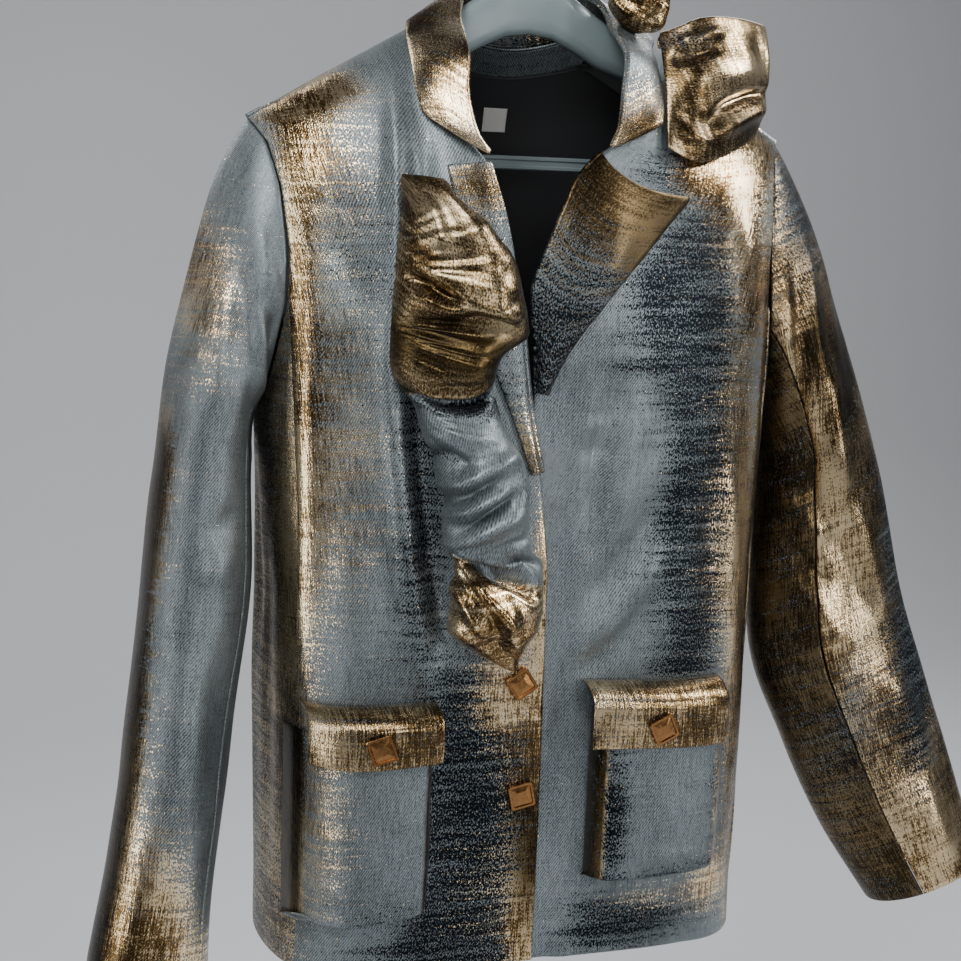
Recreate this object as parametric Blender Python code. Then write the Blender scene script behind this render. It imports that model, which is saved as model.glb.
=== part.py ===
import bpy
import bmesh
import numpy as np
from math import radians, sin, cos, pi

# A woman's blazer on a plastic hanger, in metres. The origin is the inner top of the hook, where a
# rod carries it. X runs across the shoulders, the front faces -Y, Z is up.

for old in list(bpy.data.objects):
    bpy.data.objects.remove(old, do_unlink=True)

CLOTH = 0.002
SEAM = 0.0002
CENTRE = 0.011
LEAN = radians(2.4)
LEAN_Z = -0.15

# Body sections: half width, depth in front, depth behind and how boxy the section is, by height.
BODY_Z = [-.87, -.70, -.55, -.41, -.30, -.20, -.08]
BODY_HALF = [.190, .190, .191, .196, .203, .212, .214]
BODY_FRONT = [.110, .114, .115, .115, .112, .110, .110]
BODY_BACK = [.082, .080, .078, .082, .086, .088, .088]
BODY_POWER = [6.0, 5.5, 4.6, 3.8, 3.6, 3.6, 3.6]
FRONT_REACH = .25
BACK_REACH = .16
NECK_X = .066
TIP_X = .205
TIP_Z = -.2079
HEM_Z = -.812

# Distance from the centre of the side-front line and the armhole above it, by height.
FRONT_SIDE_Z = [-.87, -.59, -.467, -.40, -.335, -.30, -.255, -.225, TIP_Z]
FRONT_SIDE_X = [.174, .173, .175, .179, .184, .183, .187, .194, TIP_X]
BACK_SIDE_Z = [-.87, -.59, -.45, -.355, -.33, -.29, -.25, -.225, TIP_Z]
BACK_SIDE_X = [.162, .157, .160, .168, .172, .177, .185, .193, TIP_X]
ARMHOLE_LOW = -.425

# Visible front edge, roll line and neckline of each front, measured outward from the centre.
RIGHT_EDGE_Z = [-.87, -.62, -.507, -.446, -.392, -.345, -.310, -.265, -.247, -.2325, -.222, -.212, -.188, -.16,
                -.14, -.128]
RIGHT_EDGE_X = [.002, .004, .0065, .0145, .0265, .0325, .0395, .0465, .0515, .0555, .064, .071, .078, .077,
                .072, NECK_X]
LEFT_EDGE_Z = [-.87, -.50, -.43, -.385, -.358, -.319, -.303, -.268, -.239, -.2235, -.216, -.205, -.185, -.16,
               -.14, -.128]
LEFT_EDGE_X = [-.042, -.040, -.022, -.0210, -.0225, -.0235, -.0185, -.0035, .0105, .0265, .040, .050, .058,
               .064, .067, NECK_X]


def shoulder_z(x):
    a = np.abs(x)
    return np.where(a < NECK_X, -.1088 - 4.4 * a * a, -.128 - .575 * (a - NECK_X))


def rise(x, z, reach):
    t = np.clip((shoulder_z(x) - z) / reach, 0, 1)
    return np.sqrt(1 - (1 - t) ** 2)


def section(x, z):
    half = np.interp(z, BODY_Z, BODY_HALF)
    power = np.interp(z, BODY_Z, BODY_POWER)
    return np.sqrt(np.clip(1 - (np.abs(x) / half) ** power, 0, 1))


def front_y(x, z):
    return -np.interp(z, BODY_Z, BODY_FRONT) * rise(x, z, FRONT_REACH) * section(x, z)


def back_y(x, z):
    return np.interp(z, BODY_Z, BODY_BACK) * rise(x, z, BACK_REACH) * section(x, z)


def hem_z(x):
    return HEM_Z - .10 * np.clip(np.abs(x) - .12, 0, 1) ** 1.0


def body_normal(points):
    """Outward direction of the body's surface at each point."""
    def level(p):
        x, y, z = p[..., 0], p[..., 1], p[..., 2]
        half = np.interp(z, BODY_Z, BODY_HALF)
        power = np.interp(z, BODY_Z, BODY_POWER)
        depth = np.where(y < 0, np.interp(z, BODY_Z, BODY_FRONT), np.interp(z, BODY_Z, BODY_BACK))
        reach = np.where(y < 0, FRONT_REACH, BACK_REACH)
        t = np.clip((shoulder_z(x) - z) / reach, 1e-7, 1)
        lift = np.sqrt(1 - (1 - t) ** 2)
        return (np.abs(x) / half) ** power + (y / (depth * lift)) ** 2
    step = 1e-6
    out = np.zeros_like(points)
    for axis in range(3):
        d = np.zeros(3)
        d[axis] = step
        out[..., axis] = level(points + d) - level(points - d)
    length = np.linalg.norm(out, axis=-1, keepdims=True)
    return out / np.maximum(length, 1e-12)


def mesh_normal(grid, closed=False):
    """Direction across a grid of points, from its rows and columns."""
    if closed:
        wide = np.concatenate([grid[:, -1:], grid, grid[:, :1]], axis=1)
        across = np.gradient(wide, axis=1)[:, 1:-1]
    else:
        across = np.gradient(grid, axis=1)
    along = np.gradient(grid, axis=0)
    n = np.cross(across, along)
    return n / np.maximum(np.linalg.norm(n, axis=-1, keepdims=True), 1e-12)


def lean(points):
    """Moves garment points to the hanging place: off centre and leaning a little."""
    p = np.array(points, float)
    x = p[..., 0] + CENTRE
    z = p[..., 2] - LEAN_Z
    p[..., 0] = x * cos(LEAN) + z * sin(LEAN)
    p[..., 2] = -x * sin(LEAN) + z * cos(LEAN) + LEAN_Z
    return p


COLOURS = {
    "cloth": ((.36, .36, .38, 1), .55, .45),
    "gold": ((.50, .38, .20, 1), .5, .5),
    "black": ((.02, .02, .022, 1), .8, 0),
    "label": ((.85, .84, .80, 1), .8, 0),
    "brass": ((.70, .52, .25, 1), .25, 1),
    "plastic": ((.33, .36, .33, 1), .4, 0),
    "steel": ((.6, .6, .6, 1), .25, 1),
}


def finish(name, bm, colour):
    bmesh.ops.recalc_face_normals(bm, faces=bm.faces)
    if bm.calc_volume(signed=True) < 0:
        bmesh.ops.reverse_faces(bm, faces=bm.faces)
    mesh = bpy.data.meshes.new(name)
    bm.to_mesh(mesh)
    bm.free()
    obj = bpy.data.objects.new(name, mesh)
    bpy.context.collection.objects.link(obj)
    material = bpy.data.materials.new(name)
    material.use_nodes = True
    shader = material.node_tree.nodes["Principled BSDF"]
    base, rough, metal = COLOURS[colour]
    shader.inputs["Base Color"].default_value = base
    shader.inputs["Roughness"].default_value = rough
    shader.inputs["Metallic"].default_value = metal
    material.diffuse_color = base
    mesh.materials.append(material)
    return obj


def wall(name, grid, normals, colour, thick=CLOTH, closed=False, place=True):
    """A sheet of cloth: the visible grid of points, and the same grid one thickness behind it."""
    back = grid - normals * thick
    if place:
        grid = lean(grid)
        back = lean(back)
    rows, cols = grid.shape[:2]
    bm = bmesh.new()
    a = [[bm.verts.new(grid[i, j]) for j in range(cols)] for i in range(rows)]
    b = [[bm.verts.new(back[i, j]) for j in range(cols)] for i in range(rows)]
    last = cols if closed else cols - 1
    for i in range(rows - 1):
        for j in range(last):
            k = (j + 1) % cols
            bm.faces.new((a[i][j], a[i][k], a[i + 1][k], a[i + 1][j]))
            bm.faces.new((b[i][j], b[i + 1][j], b[i + 1][k], b[i][k]))
    for j in range(last):
        k = (j + 1) % cols
        bm.faces.new((a[0][j], b[0][j], b[0][k], a[0][k]))
        bm.faces.new((a[-1][j], a[-1][k], b[-1][k], b[-1][j]))
    if not closed:
        for i in range(rows - 1):
            bm.faces.new((a[i][0], a[i + 1][0], b[i + 1][0], b[i][0]))
            bm.faces.new((a[i][-1], b[i][-1], b[i + 1][-1], a[i + 1][-1]))
    return finish(name, bm, colour)


# Rows of a body panel: crowded near the shoulder, where the cloth turns over, then even to the hem.
TURN = [radians(d) for d in (0, 8, 18, 30, 44, 59, 74, 90)]
LOWER_ROWS = 8


def row_z(x, k, reach, top=None):
    start = shoulder_z(x) if top is None else top(x)
    head = shoulder_z(x) - reach
    if k < len(TURN):
        return head + (start - head) * cos(TURN[k])
    f = (k - len(TURN) + 1) / LOWER_ROWS
    return head + (hem_z(x) - head) * f


def crossing(edge_z, edge_x, k, reach):
    """Where a panel's edge meets row k, found by halving."""
    low, high = -.08, .26
    for _ in range(60):
        mid = (low + high) / 2
        if mid - np.interp(row_z(mid, k, reach), edge_z, edge_x) > 0:
            high = mid
        else:
            low = mid
    return (low + high) / 2


def front_panel(name, side, edge_z, edge_x, hidden):
    """One front: hem to shoulder, front edge and roll line to side-front line and armhole."""
    columns = np.linspace(0, 1, 11)
    grid = []
    for k in range(len(TURN) + LOWER_ROWS):
        inner = crossing(edge_z, edge_x, k, FRONT_REACH)
        outer = crossing(FRONT_SIDE_Z, FRONT_SIDE_X, k, FRONT_REACH)
        x = inner + (outer - SEAM - inner) * columns
        z = row_z(x, k, FRONT_REACH)
        y = front_y(x, z)
        if k == 0:
            y = y * 0 - SEAM
        grid.append(np.stack([side * x, y, z], -1))
    grid = np.array(grid)
    normals = body_normal(grid)
    normals[0] = normals[1] * .3 + np.array([0, 0, 1.0])
    normals[0] /= np.linalg.norm(normals[0], axis=-1, keepdims=True)
    normals[0][:, 1] = 0
    grid[..., 1] += hidden(side * grid[..., 0], grid[..., 2])
    return wall(name, grid, normals, "cloth")


def on_top(x, z):
    return x * 0


def underlap(x, z):
    """The left front steps back under the right one below the break of the lapels."""
    across = np.clip((.022 - x) / .016, 0, 1)
    down = np.clip((-.370 - z) / .018, 0, 1)
    return .0036 * across ** 2 * (3 - 2 * across) * down


front_panel("front_right", -1, RIGHT_EDGE_Z, RIGHT_EDGE_X, on_top)
front_panel("front_left", 1, LEFT_EDGE_Z, LEFT_EDGE_X, underlap)


def neckline_z(x):
    """Top edge of the back: the shoulder line, dipping round the back of the neck."""
    s = np.clip(np.abs(x) / NECK_X, 0, 1)
    y = .056 * np.sqrt(1 - s * s)
    t = 1 - np.sqrt(1 - (y / .0875) ** 2)
    return shoulder_z(x) - BACK_REACH * t


def back_panel():
    half = [0, .10, .21, .322, .46, .60, .74, .87, 1]
    columns = np.array([-c for c in reversed(half[1:])] + half)
    grid = []
    for k in range(len(TURN) + LOWER_ROWS):
        outer = crossing(BACK_SIDE_Z, BACK_SIDE_X, k, BACK_REACH)
        x = (outer - SEAM) * columns
        z = row_z(x, k, BACK_REACH, neckline_z)
        y = back_y(x, z)
        if k == 0:
            y = np.where(np.abs(x) > NECK_X - .001, SEAM, y)
        grid.append(np.stack([x, y, z], -1))
    grid = np.array(grid)
    normals = body_normal(grid)
    seam = np.abs(grid[0, :, 0]) > NECK_X - .001
    normals[0][seam] = np.array([0, 0, 1.0])
    wall("back", grid, normals, "cloth")
    return grid, normals


BACK_GRID = back_panel()


def side_point(angle, z, side):
    half = np.interp(z, BODY_Z, BODY_HALF)
    power = np.interp(z, BODY_Z, BODY_POWER)
    x = half * np.sin(angle) ** (2 / power)
    lift = np.where(angle < pi / 2, rise(x, z, FRONT_REACH), rise(x, z, BACK_REACH))
    depth = np.where(angle < pi / 2, np.interp(z, BODY_Z, BODY_FRONT), np.interp(z, BODY_Z, BODY_BACK))
    return np.stack([side * x, -depth * lift * np.cos(angle), z + x * 0], -1)


def side_angles(z, gap=0.0, rear=0.0):
    half = np.interp(z, BODY_Z, BODY_HALF)
    power = np.interp(z, BODY_Z, BODY_POWER)
    a = np.arcsin(((np.interp(z, FRONT_SIDE_Z, FRONT_SIDE_X) + gap) / half) ** (power / 2))
    b = pi - np.arcsin(((np.interp(z, BACK_SIDE_Z, BACK_SIDE_X) + gap + rear) / half) ** (power / 2))
    return a, b


def underarm_z(u):
    """Height of the armhole along the top of the side panel, u from front to back."""
    away = abs(u - .5) * 2
    return ARMHOLE_LOW + (.090 if u < .5 else .070) * away ** 2


def side_panel(name, side):
    grid = []
    for v in np.linspace(1, 0, 13):
        line = []
        for u in np.linspace(0, 1, 9):
            z = HEM_Z - .006 + (underarm_z(u) - HEM_Z + .006) * v
            a, b = side_angles(z, SEAM, .0006)
            line.append(side_point(a + (b - a) * u, z, side))
        grid.append(line)
    grid = np.array(grid)
    wall(name, grid, body_normal(grid), "gold" if side < 0 else "cloth")


side_panel("side_right", -1)
side_panel("side_left", 1)


def armhole(side):
    """The armhole as places (around, point): 0 at the shoulder tip, 90 in front, 180 underneath."""
    front = []
    for z in np.linspace(TIP_Z, -.335, 9):
        x = np.interp(z, FRONT_SIDE_Z, FRONT_SIDE_X)
        front.append((side * x, float(front_y(x, z)) if z < TIP_Z else 0.0, z))
    under = []
    for u in np.linspace(0, 1, 11):
        z = underarm_z(u)
        a, b = side_angles(z)
        under.append(tuple(side_point(a + (b - a) * u, z, side)))
    back = []
    for z in np.linspace(-.355, TIP_Z, 9):
        x = np.interp(z, BACK_SIDE_Z, BACK_SIDE_X)
        back.append((side * x, float(back_y(x, z)) if z < TIP_Z else 0.0, z))
    first = np.array(front + under[1:6])
    second = np.array(under[5:-1] + back)
    turn, place = [], []
    for part, start in ((first, 0), (second, 180)):
        length = np.concatenate([[0], np.cumsum(np.linalg.norm(np.diff(part, axis=0), axis=1))])
        for d, p in zip(length / length[-1], part):
            turn.append(start + 180 * d)
            place.append(p)
    return np.array(turn), np.array(place)


# Sleeve stations: outward, y, z, half width, half depth, and the tilt of the section in degrees.
SLEEVE_RIGHT = [
    (.2340, -.004, -.450, .0350, .0600, 6),
    (.2385, -.010, -.530, .0385, .0610, 6),
    (.2465, -.020, -.600, .0390, .0590, 7),
    (.2565, -.034, -.670, .0380, .0560, 8),
    (.2670, -.047, -.740, .0390, .0520, 8),
    (.2770, -.057, -.812, .0430, .0470, 6),
]
SLEEVE_LEFT = [
    (.2525, -.002, -.450, .0510, .0520, 12),
    (.2650, -.008, -.530, .0620, .0450, 16),
    (.2770, -.015, -.600, .0690, .0390, 18),
    (.3020, -.025, -.665, .0670, .0370, 20),
    (.3320, -.035, -.735, .0610, .0360, 21),
    (.3680, -.045, -.806, .0530, .0360, 20),
]
SLEEVE_PITCH = radians(8)


def smooth(table, t):
    """A table read between its rows with soft bends."""
    table = np.array(table, float)
    i = min(int(t), len(table) - 2)
    f = t - i
    p0 = table[max(i - 1, 0)]
    p1 = table[i]
    p2 = table[i + 1]
    p3 = table[min(i + 2, len(table) - 1)]
    return .5 * (2 * p1 + (p2 - p0) * f + (2 * p0 - 5 * p1 + 4 * p2 - p3) * f * f
                 + (3 * p1 - p0 - 3 * p2 + p3) * f ** 3)


def sleeve_point(side, stations, loop, around, t):
    """A point of the sleeve: t below 0 is the sleeve head, 0 to 5 the tube, around in degrees."""
    out, y, z, wide, deep, tilt = smooth(stations, max(t, 0))
    a = radians(tilt)
    angle = radians(around)
    e1 = np.array([side * cos(a), 0, sin(a)])
    e2 = np.array([0, cos(SLEEVE_PITCH), -sin(SLEEVE_PITCH)])
    axis = np.array([side * sin(a), -sin(SLEEVE_PITCH), -cos(a)])
    ring = np.array([side * out, y, z]) + e1 * wide * cos(angle) - e2 * deep * sin(angle)
    if t >= 0:
        return ring
    turn, place = loop
    start = np.array([np.interp(around % 360, turn, place[:, i]) for i in range(3)])
    start = start + np.array([side * .0007, 0, 0])
    lead = np.array([side * (.64 - .02 * cos(angle)), -.30 * sin(angle), -.76])
    start = start + lead * .0002
    span = np.linalg.norm(ring - start)
    f = 1 + t
    h0 = 2 * f ** 3 - 3 * f * f + 1
    h1 = f ** 3 - 2 * f * f + f
    h2 = -2 * f ** 3 + 3 * f * f
    h3 = f ** 3 - f * f
    return start * h0 + lead * span * .72 * h1 + ring * h2 + axis * span * .72 * h3


def sleeve_piece(name, side, stations, first, last, columns, colour):
    loop = armhole(side)
    levels = [-1, -.92, -.80, -.64, -.46, -.26, -.10] + list(np.linspace(.3, 5, 10))
    arounds = np.linspace(first + .2, last - .2, columns)
    grid, normals = [], []
    for t in levels:
        line, out = [], []
        for around in arounds:
            line.append(sleeve_point(side, stations, loop, around, t))
            lo, hi = max(t - .01, -1), min(t + .01, 5)
            down = (sleeve_point(side, stations, loop, around, hi)
                    - sleeve_point(side, stations, loop, around, lo))
            turn = (sleeve_point(side, stations, loop, around + 1, t)
                    - sleeve_point(side, stations, loop, around - 1, t))
            n = np.cross(down, turn) * side
            out.append(n / np.linalg.norm(n))
        grid.append(line)
        normals.append(out)
    grid, normals = np.array(grid), np.array(normals)
    ring = sleeve_point(side, stations, loop, 0, 3) - sleeve_point(side, stations, loop, 180, 3)
    if first < 0 < last:
        middle = int(round((0 - first) / (last - first) * (columns - 1)))
        if np.dot(normals[-5, middle], ring) < 0:
            normals = -normals
    else:
        middle = int(round((180 - first) / (last - first) * (columns - 1)))
        if np.dot(normals[-5, middle], ring) > 0:
            normals = -normals
    wall(name, grid, normals, colour)


FRONT_SEAM_RIGHT = 140
FRONT_SEAM_LEFT = 112
BACK_SEAM = 245
sleeve_piece("sleeve_right_top", -1, SLEEVE_RIGHT, BACK_SEAM - 360, FRONT_SEAM_RIGHT, 15, "cloth")
sleeve_piece("sleeve_right_under", -1, SLEEVE_RIGHT, FRONT_SEAM_RIGHT, BACK_SEAM, 7, "cloth")
sleeve_piece("sleeve_left_top", 1, SLEEVE_LEFT, BACK_SEAM - 360, FRONT_SEAM_LEFT, 14, "gold")
sleeve_piece("sleeve_left_under", 1, SLEEVE_LEFT, FRONT_SEAM_LEFT, BACK_SEAM, 8, "gold")


# Collar stations from the right front end round the back to the left one. Height of the neck seam,
# roll line x, z and stand-off, outer edge x, z and stand-off. A station with no y keeps to the surface.
COLLAR_FRONT_RIGHT = [
    (-.2240, .0550, -.2255, .0095, .0935, -.2060, .0066),
    (-.2120, .0630, -.2130, .0105, .0985, -.1990, .0068),
    (-.1880, .0670, -.1870, .0125, .1005, -.1840, .0070),
    (-.1600, .0640, -.1600, .0150, .1005, -.1640, .0075),
    (-.1410, .0585, -.1340, -.0040, .0985, -.1500, .0080),
]
COLLAR_FRONT_LEFT = [
    (-.2170, .0300, -.2180, .0095, .0770, -.2020, .0066),
    (-.2050, .0370, -.2050, .0105, .0800, -.1900, .0068),
    (-.1820, .0430, -.1790, .0125, .0810, -.1740, .0070),
    (-.1580, .0490, -.1540, .0150, .0820, -.1590, .0080),
    (-.1410, .0515, -.1340, -.0040, .0860, -.1460, .0085),
]
# Over the shoulder and round the back: turn of the neck seam in degrees, roll x, y, z, edge x, z.
COLLAR_BACK = [
    (0, .0530, -.010, -.1180, .0950, -.1370),
    (18, .0490, .012, -.1080, .0850, -.1400),
    (45, .0380, .034, -.1030, .0640, -.1480),
    (70, .0180, .044, -.1010, .0330, -.1530),
    (90, .0000, .047, -.1005, .0000, -.1560),
]


def neck_seam(turn):
    """The neckline of the back: 0 at the shoulder, 90 at the middle of the back."""
    x = NECK_X * cos(radians(turn))
    y = .056 * sin(radians(turn))
    z = float(neckline_z(x)) + .0006
    return np.array([x, y, z])


def collar_section(base, roll, edge, run):
    """Stand, roll and fall of the collar: one sheet folded over, run is the way the roll line goes."""
    along = (base + edge) / 2 - roll
    along -= run * np.dot(along, run)
    along /= np.linalg.norm(along)
    out = np.cross(run, along)
    out /= np.linalg.norm(out)
    if np.dot(edge - base, out) < 0:
        out = -out
    inner = roll + along * .0028 - out * .0030
    outer = roll + along * .0028 + out * .0030
    top1 = roll + along * .0005 - out * .0017
    top2 = roll + along * .0005 + out * .0017
    mid = base * .5 + inner * .5
    fall1 = outer * .62 + edge * .38 + out * .0020
    fall2 = outer * .28 + edge * .72 + out * .0014
    return [base, mid, inner, top1, top2, outer, fall1, fall2, edge]


def collar():
    def front(table, side, edge_z, edge_x):
        lines = []
        for seam_z, rx, rz, ro, ex, ez, eo in table:
            sx = np.interp(seam_z, edge_z, edge_x)
            base = np.array([side * (sx - .0018), float(front_y(sx, seam_z)) - .0002, seam_z])
            roll = np.array([side * rx, float(front_y(rx, rz)) - ro, rz])
            edge = np.array([side * ex, float(front_y(ex, ez)) - eo, ez])
            lines.append((base, roll, edge))
        return lines

    def over(side):
        lines = []
        for turn, rx, ry, rz, ex, ez in COLLAR_BACK:
            base = neck_seam(turn)
            edge_y = float(back_y(ex, ez)) + .0095 if turn > 0 else -.008
            if turn == 0:
                base = base + np.array([-.0026, -.0005, .0008])
            s = np.array([side, 1, 1])
            lines.append((base * s, np.array([rx, ry, rz]) * s, np.array([ex, edge_y, ez]) * s))
        return lines

    right_front = front(COLLAR_FRONT_RIGHT, -1, RIGHT_EDGE_Z, RIGHT_EDGE_X)
    left_front = front(COLLAR_FRONT_LEFT, 1, LEFT_EDGE_Z, LEFT_EDGE_X)
    stations = np.array(right_front + over(-1) + over(1)[::-1][1:] + left_front[::-1])
    # Soft bends between the stations.
    fine = []
    for k in range(2 * len(stations) - 1):
        fine.append(smooth(stations.reshape(len(stations), -1), min(k / 2, len(stations) - 1.0001)))
    fine = np.array(fine).reshape(-1, 3, 3)
    run = np.gradient(fine[:, 1], axis=0)
    run /= np.linalg.norm(run, axis=1, keepdims=True)
    grid = np.array([collar_section(b, r, e, d) for (b, r, e), d in zip(fine, run)])
    n = mesh_normal(grid)
    if n[len(grid) // 2, 7, 1] < 0:
        n = -n
    wall("collar", grid, n, "gold")


collar()

# Lapels: height and distance of the roll edge, then of the outer edge, from the break upward.
LAPEL_RIGHT = [
    (-.4440, .0150, -.4460, .0235),
    (-.4200, .0205, -.4215, .0320),
    (-.3950, .0260, -.3945, .0430),
    (-.3680, .0296, -.3665, .0550),
    (-.3450, .0325, -.3420, .0620),
    (-.3100, .0395, -.3060, .0700),
    (-.2750, .0450, -.2720, .0770),
    (-.2480, .0515, -.2500, .0815),
    (-.2325, .0555, -.2360, .0835),
]
LAPEL_LEFT = [
    (-.3880, -.0215, -.3900, -.0120),
    (-.3740, -.0225, -.3740, -.0050),
    (-.3580, -.0230, -.3540, .0070),
    (-.3400, -.0235, -.3330, .0230),
    (-.3190, -.0235, -.3120, .0400),
    (-.3030, -.0185, -.2900, .0600),
    (-.2680, -.0035, -.2690, .0800),
    (-.2390, .0105, -.2560, .0940),
    (-.2235, .0265, -.2510, .0950),
]


def lapel(name, side, table, top_sag, lift, wrap, colour):
    """The turned-back front edge: it wraps the roll edge and lies on the front."""
    grid = []
    radius = .0036
    for t in np.linspace(0, len(table) - 1.0001, 15):
        rz, rx, oz, ox = smooth(table, t)
        near_top = max(0, t / (len(table) - 1) * 3 - 2)
        line = []
        start = np.array([rx, float(front_y(rx, rz)) + .0010, rz])
        low = 52 if wrap(rz) else -15
        for angle in np.linspace(low, 90, 5):
            a = radians(angle)
            line.append(start + radius * np.array([-cos(a), -sin(a), 0]))
        for u in (.07, .16, .28, .42, .56, .70, .85, 1.0):
            x = rx + (ox - rx) * u
            z = rz + (oz - rz) * u - top_sag * near_top * sin(pi * u ** .7)
            y = float(front_y(x, z)) - .0026 - lift * sin(pi * u ** .75) - .0008 * u
            line.append(np.array([x, y, z]))
        grid.append([(side * p[0], p[1], p[2]) for p in line])
    grid = np.array(grid)
    n = mesh_normal(grid)
    if n[7, 8, 1] > 0:
        n = -n
    wall(name, grid, n, colour)


lapel("lapel_right", -1, LAPEL_RIGHT, .0, .0022, lambda z: False, "cloth")
lapel("lapel_left", 1, LAPEL_LEFT, .010, .0045, lambda z: z < -.345 or z > -.232, "gold")


# Ruffle rows down the front: height, distance of its outer and its inner side, and how far it stands up.
RUFFLE = [
    (-.2440, .1160, .0880, .0060),
    (-.2540, .1150, .0780, .0170),
    (-.2700, .1150, .0600, .0270),
    (-.2900, .1180, .0440, .0330),
    (-.3120, .1210, .0380, .0350),
    (-.3330, .1230, .0330, .0310),
    (-.3450, .1240, .0330, .0210),
    (-.3560, .1240, .0500, .0270),
    (-.3720, .1240, .0555, .0260),
    (-.3830, .1210, .0540, .0200),
    (-.3900, .1140, .0500, .0120),
    (-.4020, .1070, .0460, .0210),
    (-.4200, .1020, .0370, .0300),
    (-.4420, .0940, .0280, .0330),
    (-.4620, .0870, .0250, .0330),
    (-.4800, .0860, .0230, .0310),
    (-.4930, .0850, .0190, .0250),
    (-.5030, .0790, .0120, .0130),
    (-.5120, .0760, .0110, .0200),
    (-.5300, .0760, .0110, .0300),
    (-.5480, .0780, .0140, .0290),
    (-.5600, .0790, .0200, .0240),
    (-.5720, .0620, .0250, .0160),
    (-.5840, .0390, .0270, .0080),
]


def ruffle():
    """A gathered puff: an arched strip whose height rises and falls from fold to fold."""
    grid = []
    across = np.array([0, .03, .09, .18, .30, .43, .57, .70, .82, .91, .97, 1.0])
    for z, outer, inner, high in RUFFLE:
        line = []
        over_lapel = np.clip((z + .385) / .012, 0, 1)
        for u in across:
            x = outer + (inner - outer) * u
            arch = (1 - abs(2 * u - 1) ** 3.2) ** .62
            skew = .012 * (u - .5) * min(1, high / .03)
            base = .0018 + over_lapel * (.0102 * np.clip((u - .35) / .3, 0, 1))
            zz = z - skew
            y = float(front_y(x, zz)) - base - high * arch
            line.append((-x, y, zz))
        grid.append(line)
    grid = np.array(grid)
    n = mesh_normal(grid)
    if n[12, 6, 1] > 0:
        n = -n
    wall("ruffle", grid, n, "gold")


ruffle()


# Bellows pockets: side, outer and inner edge, top and bottom height at the outer and the inner edge, and
# how far the sewn edge stands off the front.
POCKET_RIGHT = (-1, .1800, .085, -.6340, -.6240, -.7760, -.7570, .0028)
POCKET_LEFT = (1, .143, .031, -.6210, -.6150, -.7450, -.7450, .0024)
GUSSET_SLANT = .009
POCKET_DEPTH = .0190


def pocket(name, data):
    side, outer, inner, top_out, top_in, low_out, low_in, root = data
    grid = []
    us = np.array([0, .035, .075, .13, .26, .42, .58, .74, .87, .925, .965, 1.0])
    vs = np.array([0, .15, .33, .52, .70, .85, .91, .96, 1.0])
    for v in vs:
        line = []
        for u in us:
            x = outer + (inner - outer) * u
            z_top = top_out + (top_in - top_out) * u
            z_low = low_out + (low_in - low_out) * u
            z = z_top + (z_low - z_top) * v
            edge = min(min(u, 1 - u) / .10, 1)
            foot = min((1 - v) / .14, 1)
            height = (1 - (1 - edge) ** 2.6) ** .5 * (1 - (1 - foot) ** 2.6) ** .5
            puff = .003 * sin(pi * u) * sin(pi * min(v * .8, 1))
            base = np.array([x, float(front_y(x, z)), z])
            out = body_normal(np.array([base]))[0]
            base = base + out * root * (1 - height) - np.array([0, .0034, 0]) * height
            base = base - np.array([GUSSET_SLANT * (1 - 2 * u), POCKET_DEPTH + puff, 0]) * height
            line.append((side * base[0], base[1], base[2]))
        grid.append(line)
    grid = np.array(grid)
    n = mesh_normal(grid)
    if n[4, 5, 1] > 0:
        n = -n
    wall(name, grid, n, "cloth")


pocket("pocket_right", POCKET_RIGHT)
pocket("pocket_left", POCKET_LEFT)

# Flaps: side, outer and inner edge, top heights outer and inner, bottom heights outer and inner, and
# how far the sewn edge stands off the front.
FLAP_RIGHT = (-1, .1730, .085, -.6115, -.6040, -.6520, -.6420, .0009)
FLAP_LEFT = (1, .134, .024, -.5990, -.5940, -.6440, -.6390, .0009)
FLAP_STAND = POCKET_DEPTH + .0105


def flap_point(data, u, v):
    side, outer, inner, top_out, top_in, low_out, low_in, root = data
    x = outer + (inner - outer) * u
    z_top = top_out + (top_in - top_out) * u
    z_low = low_out + (low_in - low_out) * u
    z = z_top + (z_low - z_top) * v
    out = min(v / .34, 1)
    share = (1 - (1 - out) ** 2) ** .5
    base = np.array([x, float(front_y(x, z)), z])
    base = base + body_normal(np.array([base]))[0] * root * (1 - share)
    stand = FLAP_STAND - .0010 * (2 * u - 1) ** 2
    return np.array([side * base[0], base[1] - stand * share, base[2]])


def flap(name, data):
    us = np.linspace(0, 1, 8)
    vs = [0, .04, .10, .18, .28, .42, .60, .80, 1.0]
    grid = np.array([[flap_point(data, u, v) for u in us] for v in vs])
    n = mesh_normal(grid)
    if n[6, 4, 1] > 0:
        n = -n
    wall(name, grid, n, "gold")


flap("flap_right", FLAP_RIGHT)
flap("flap_left", FLAP_LEFT)

# Square buttons: side of the square, thickness, width of the raised rim.
BUTTON = .0185
BUTTON_THICK = .0032
BUTTON_RIM = .0018


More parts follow.
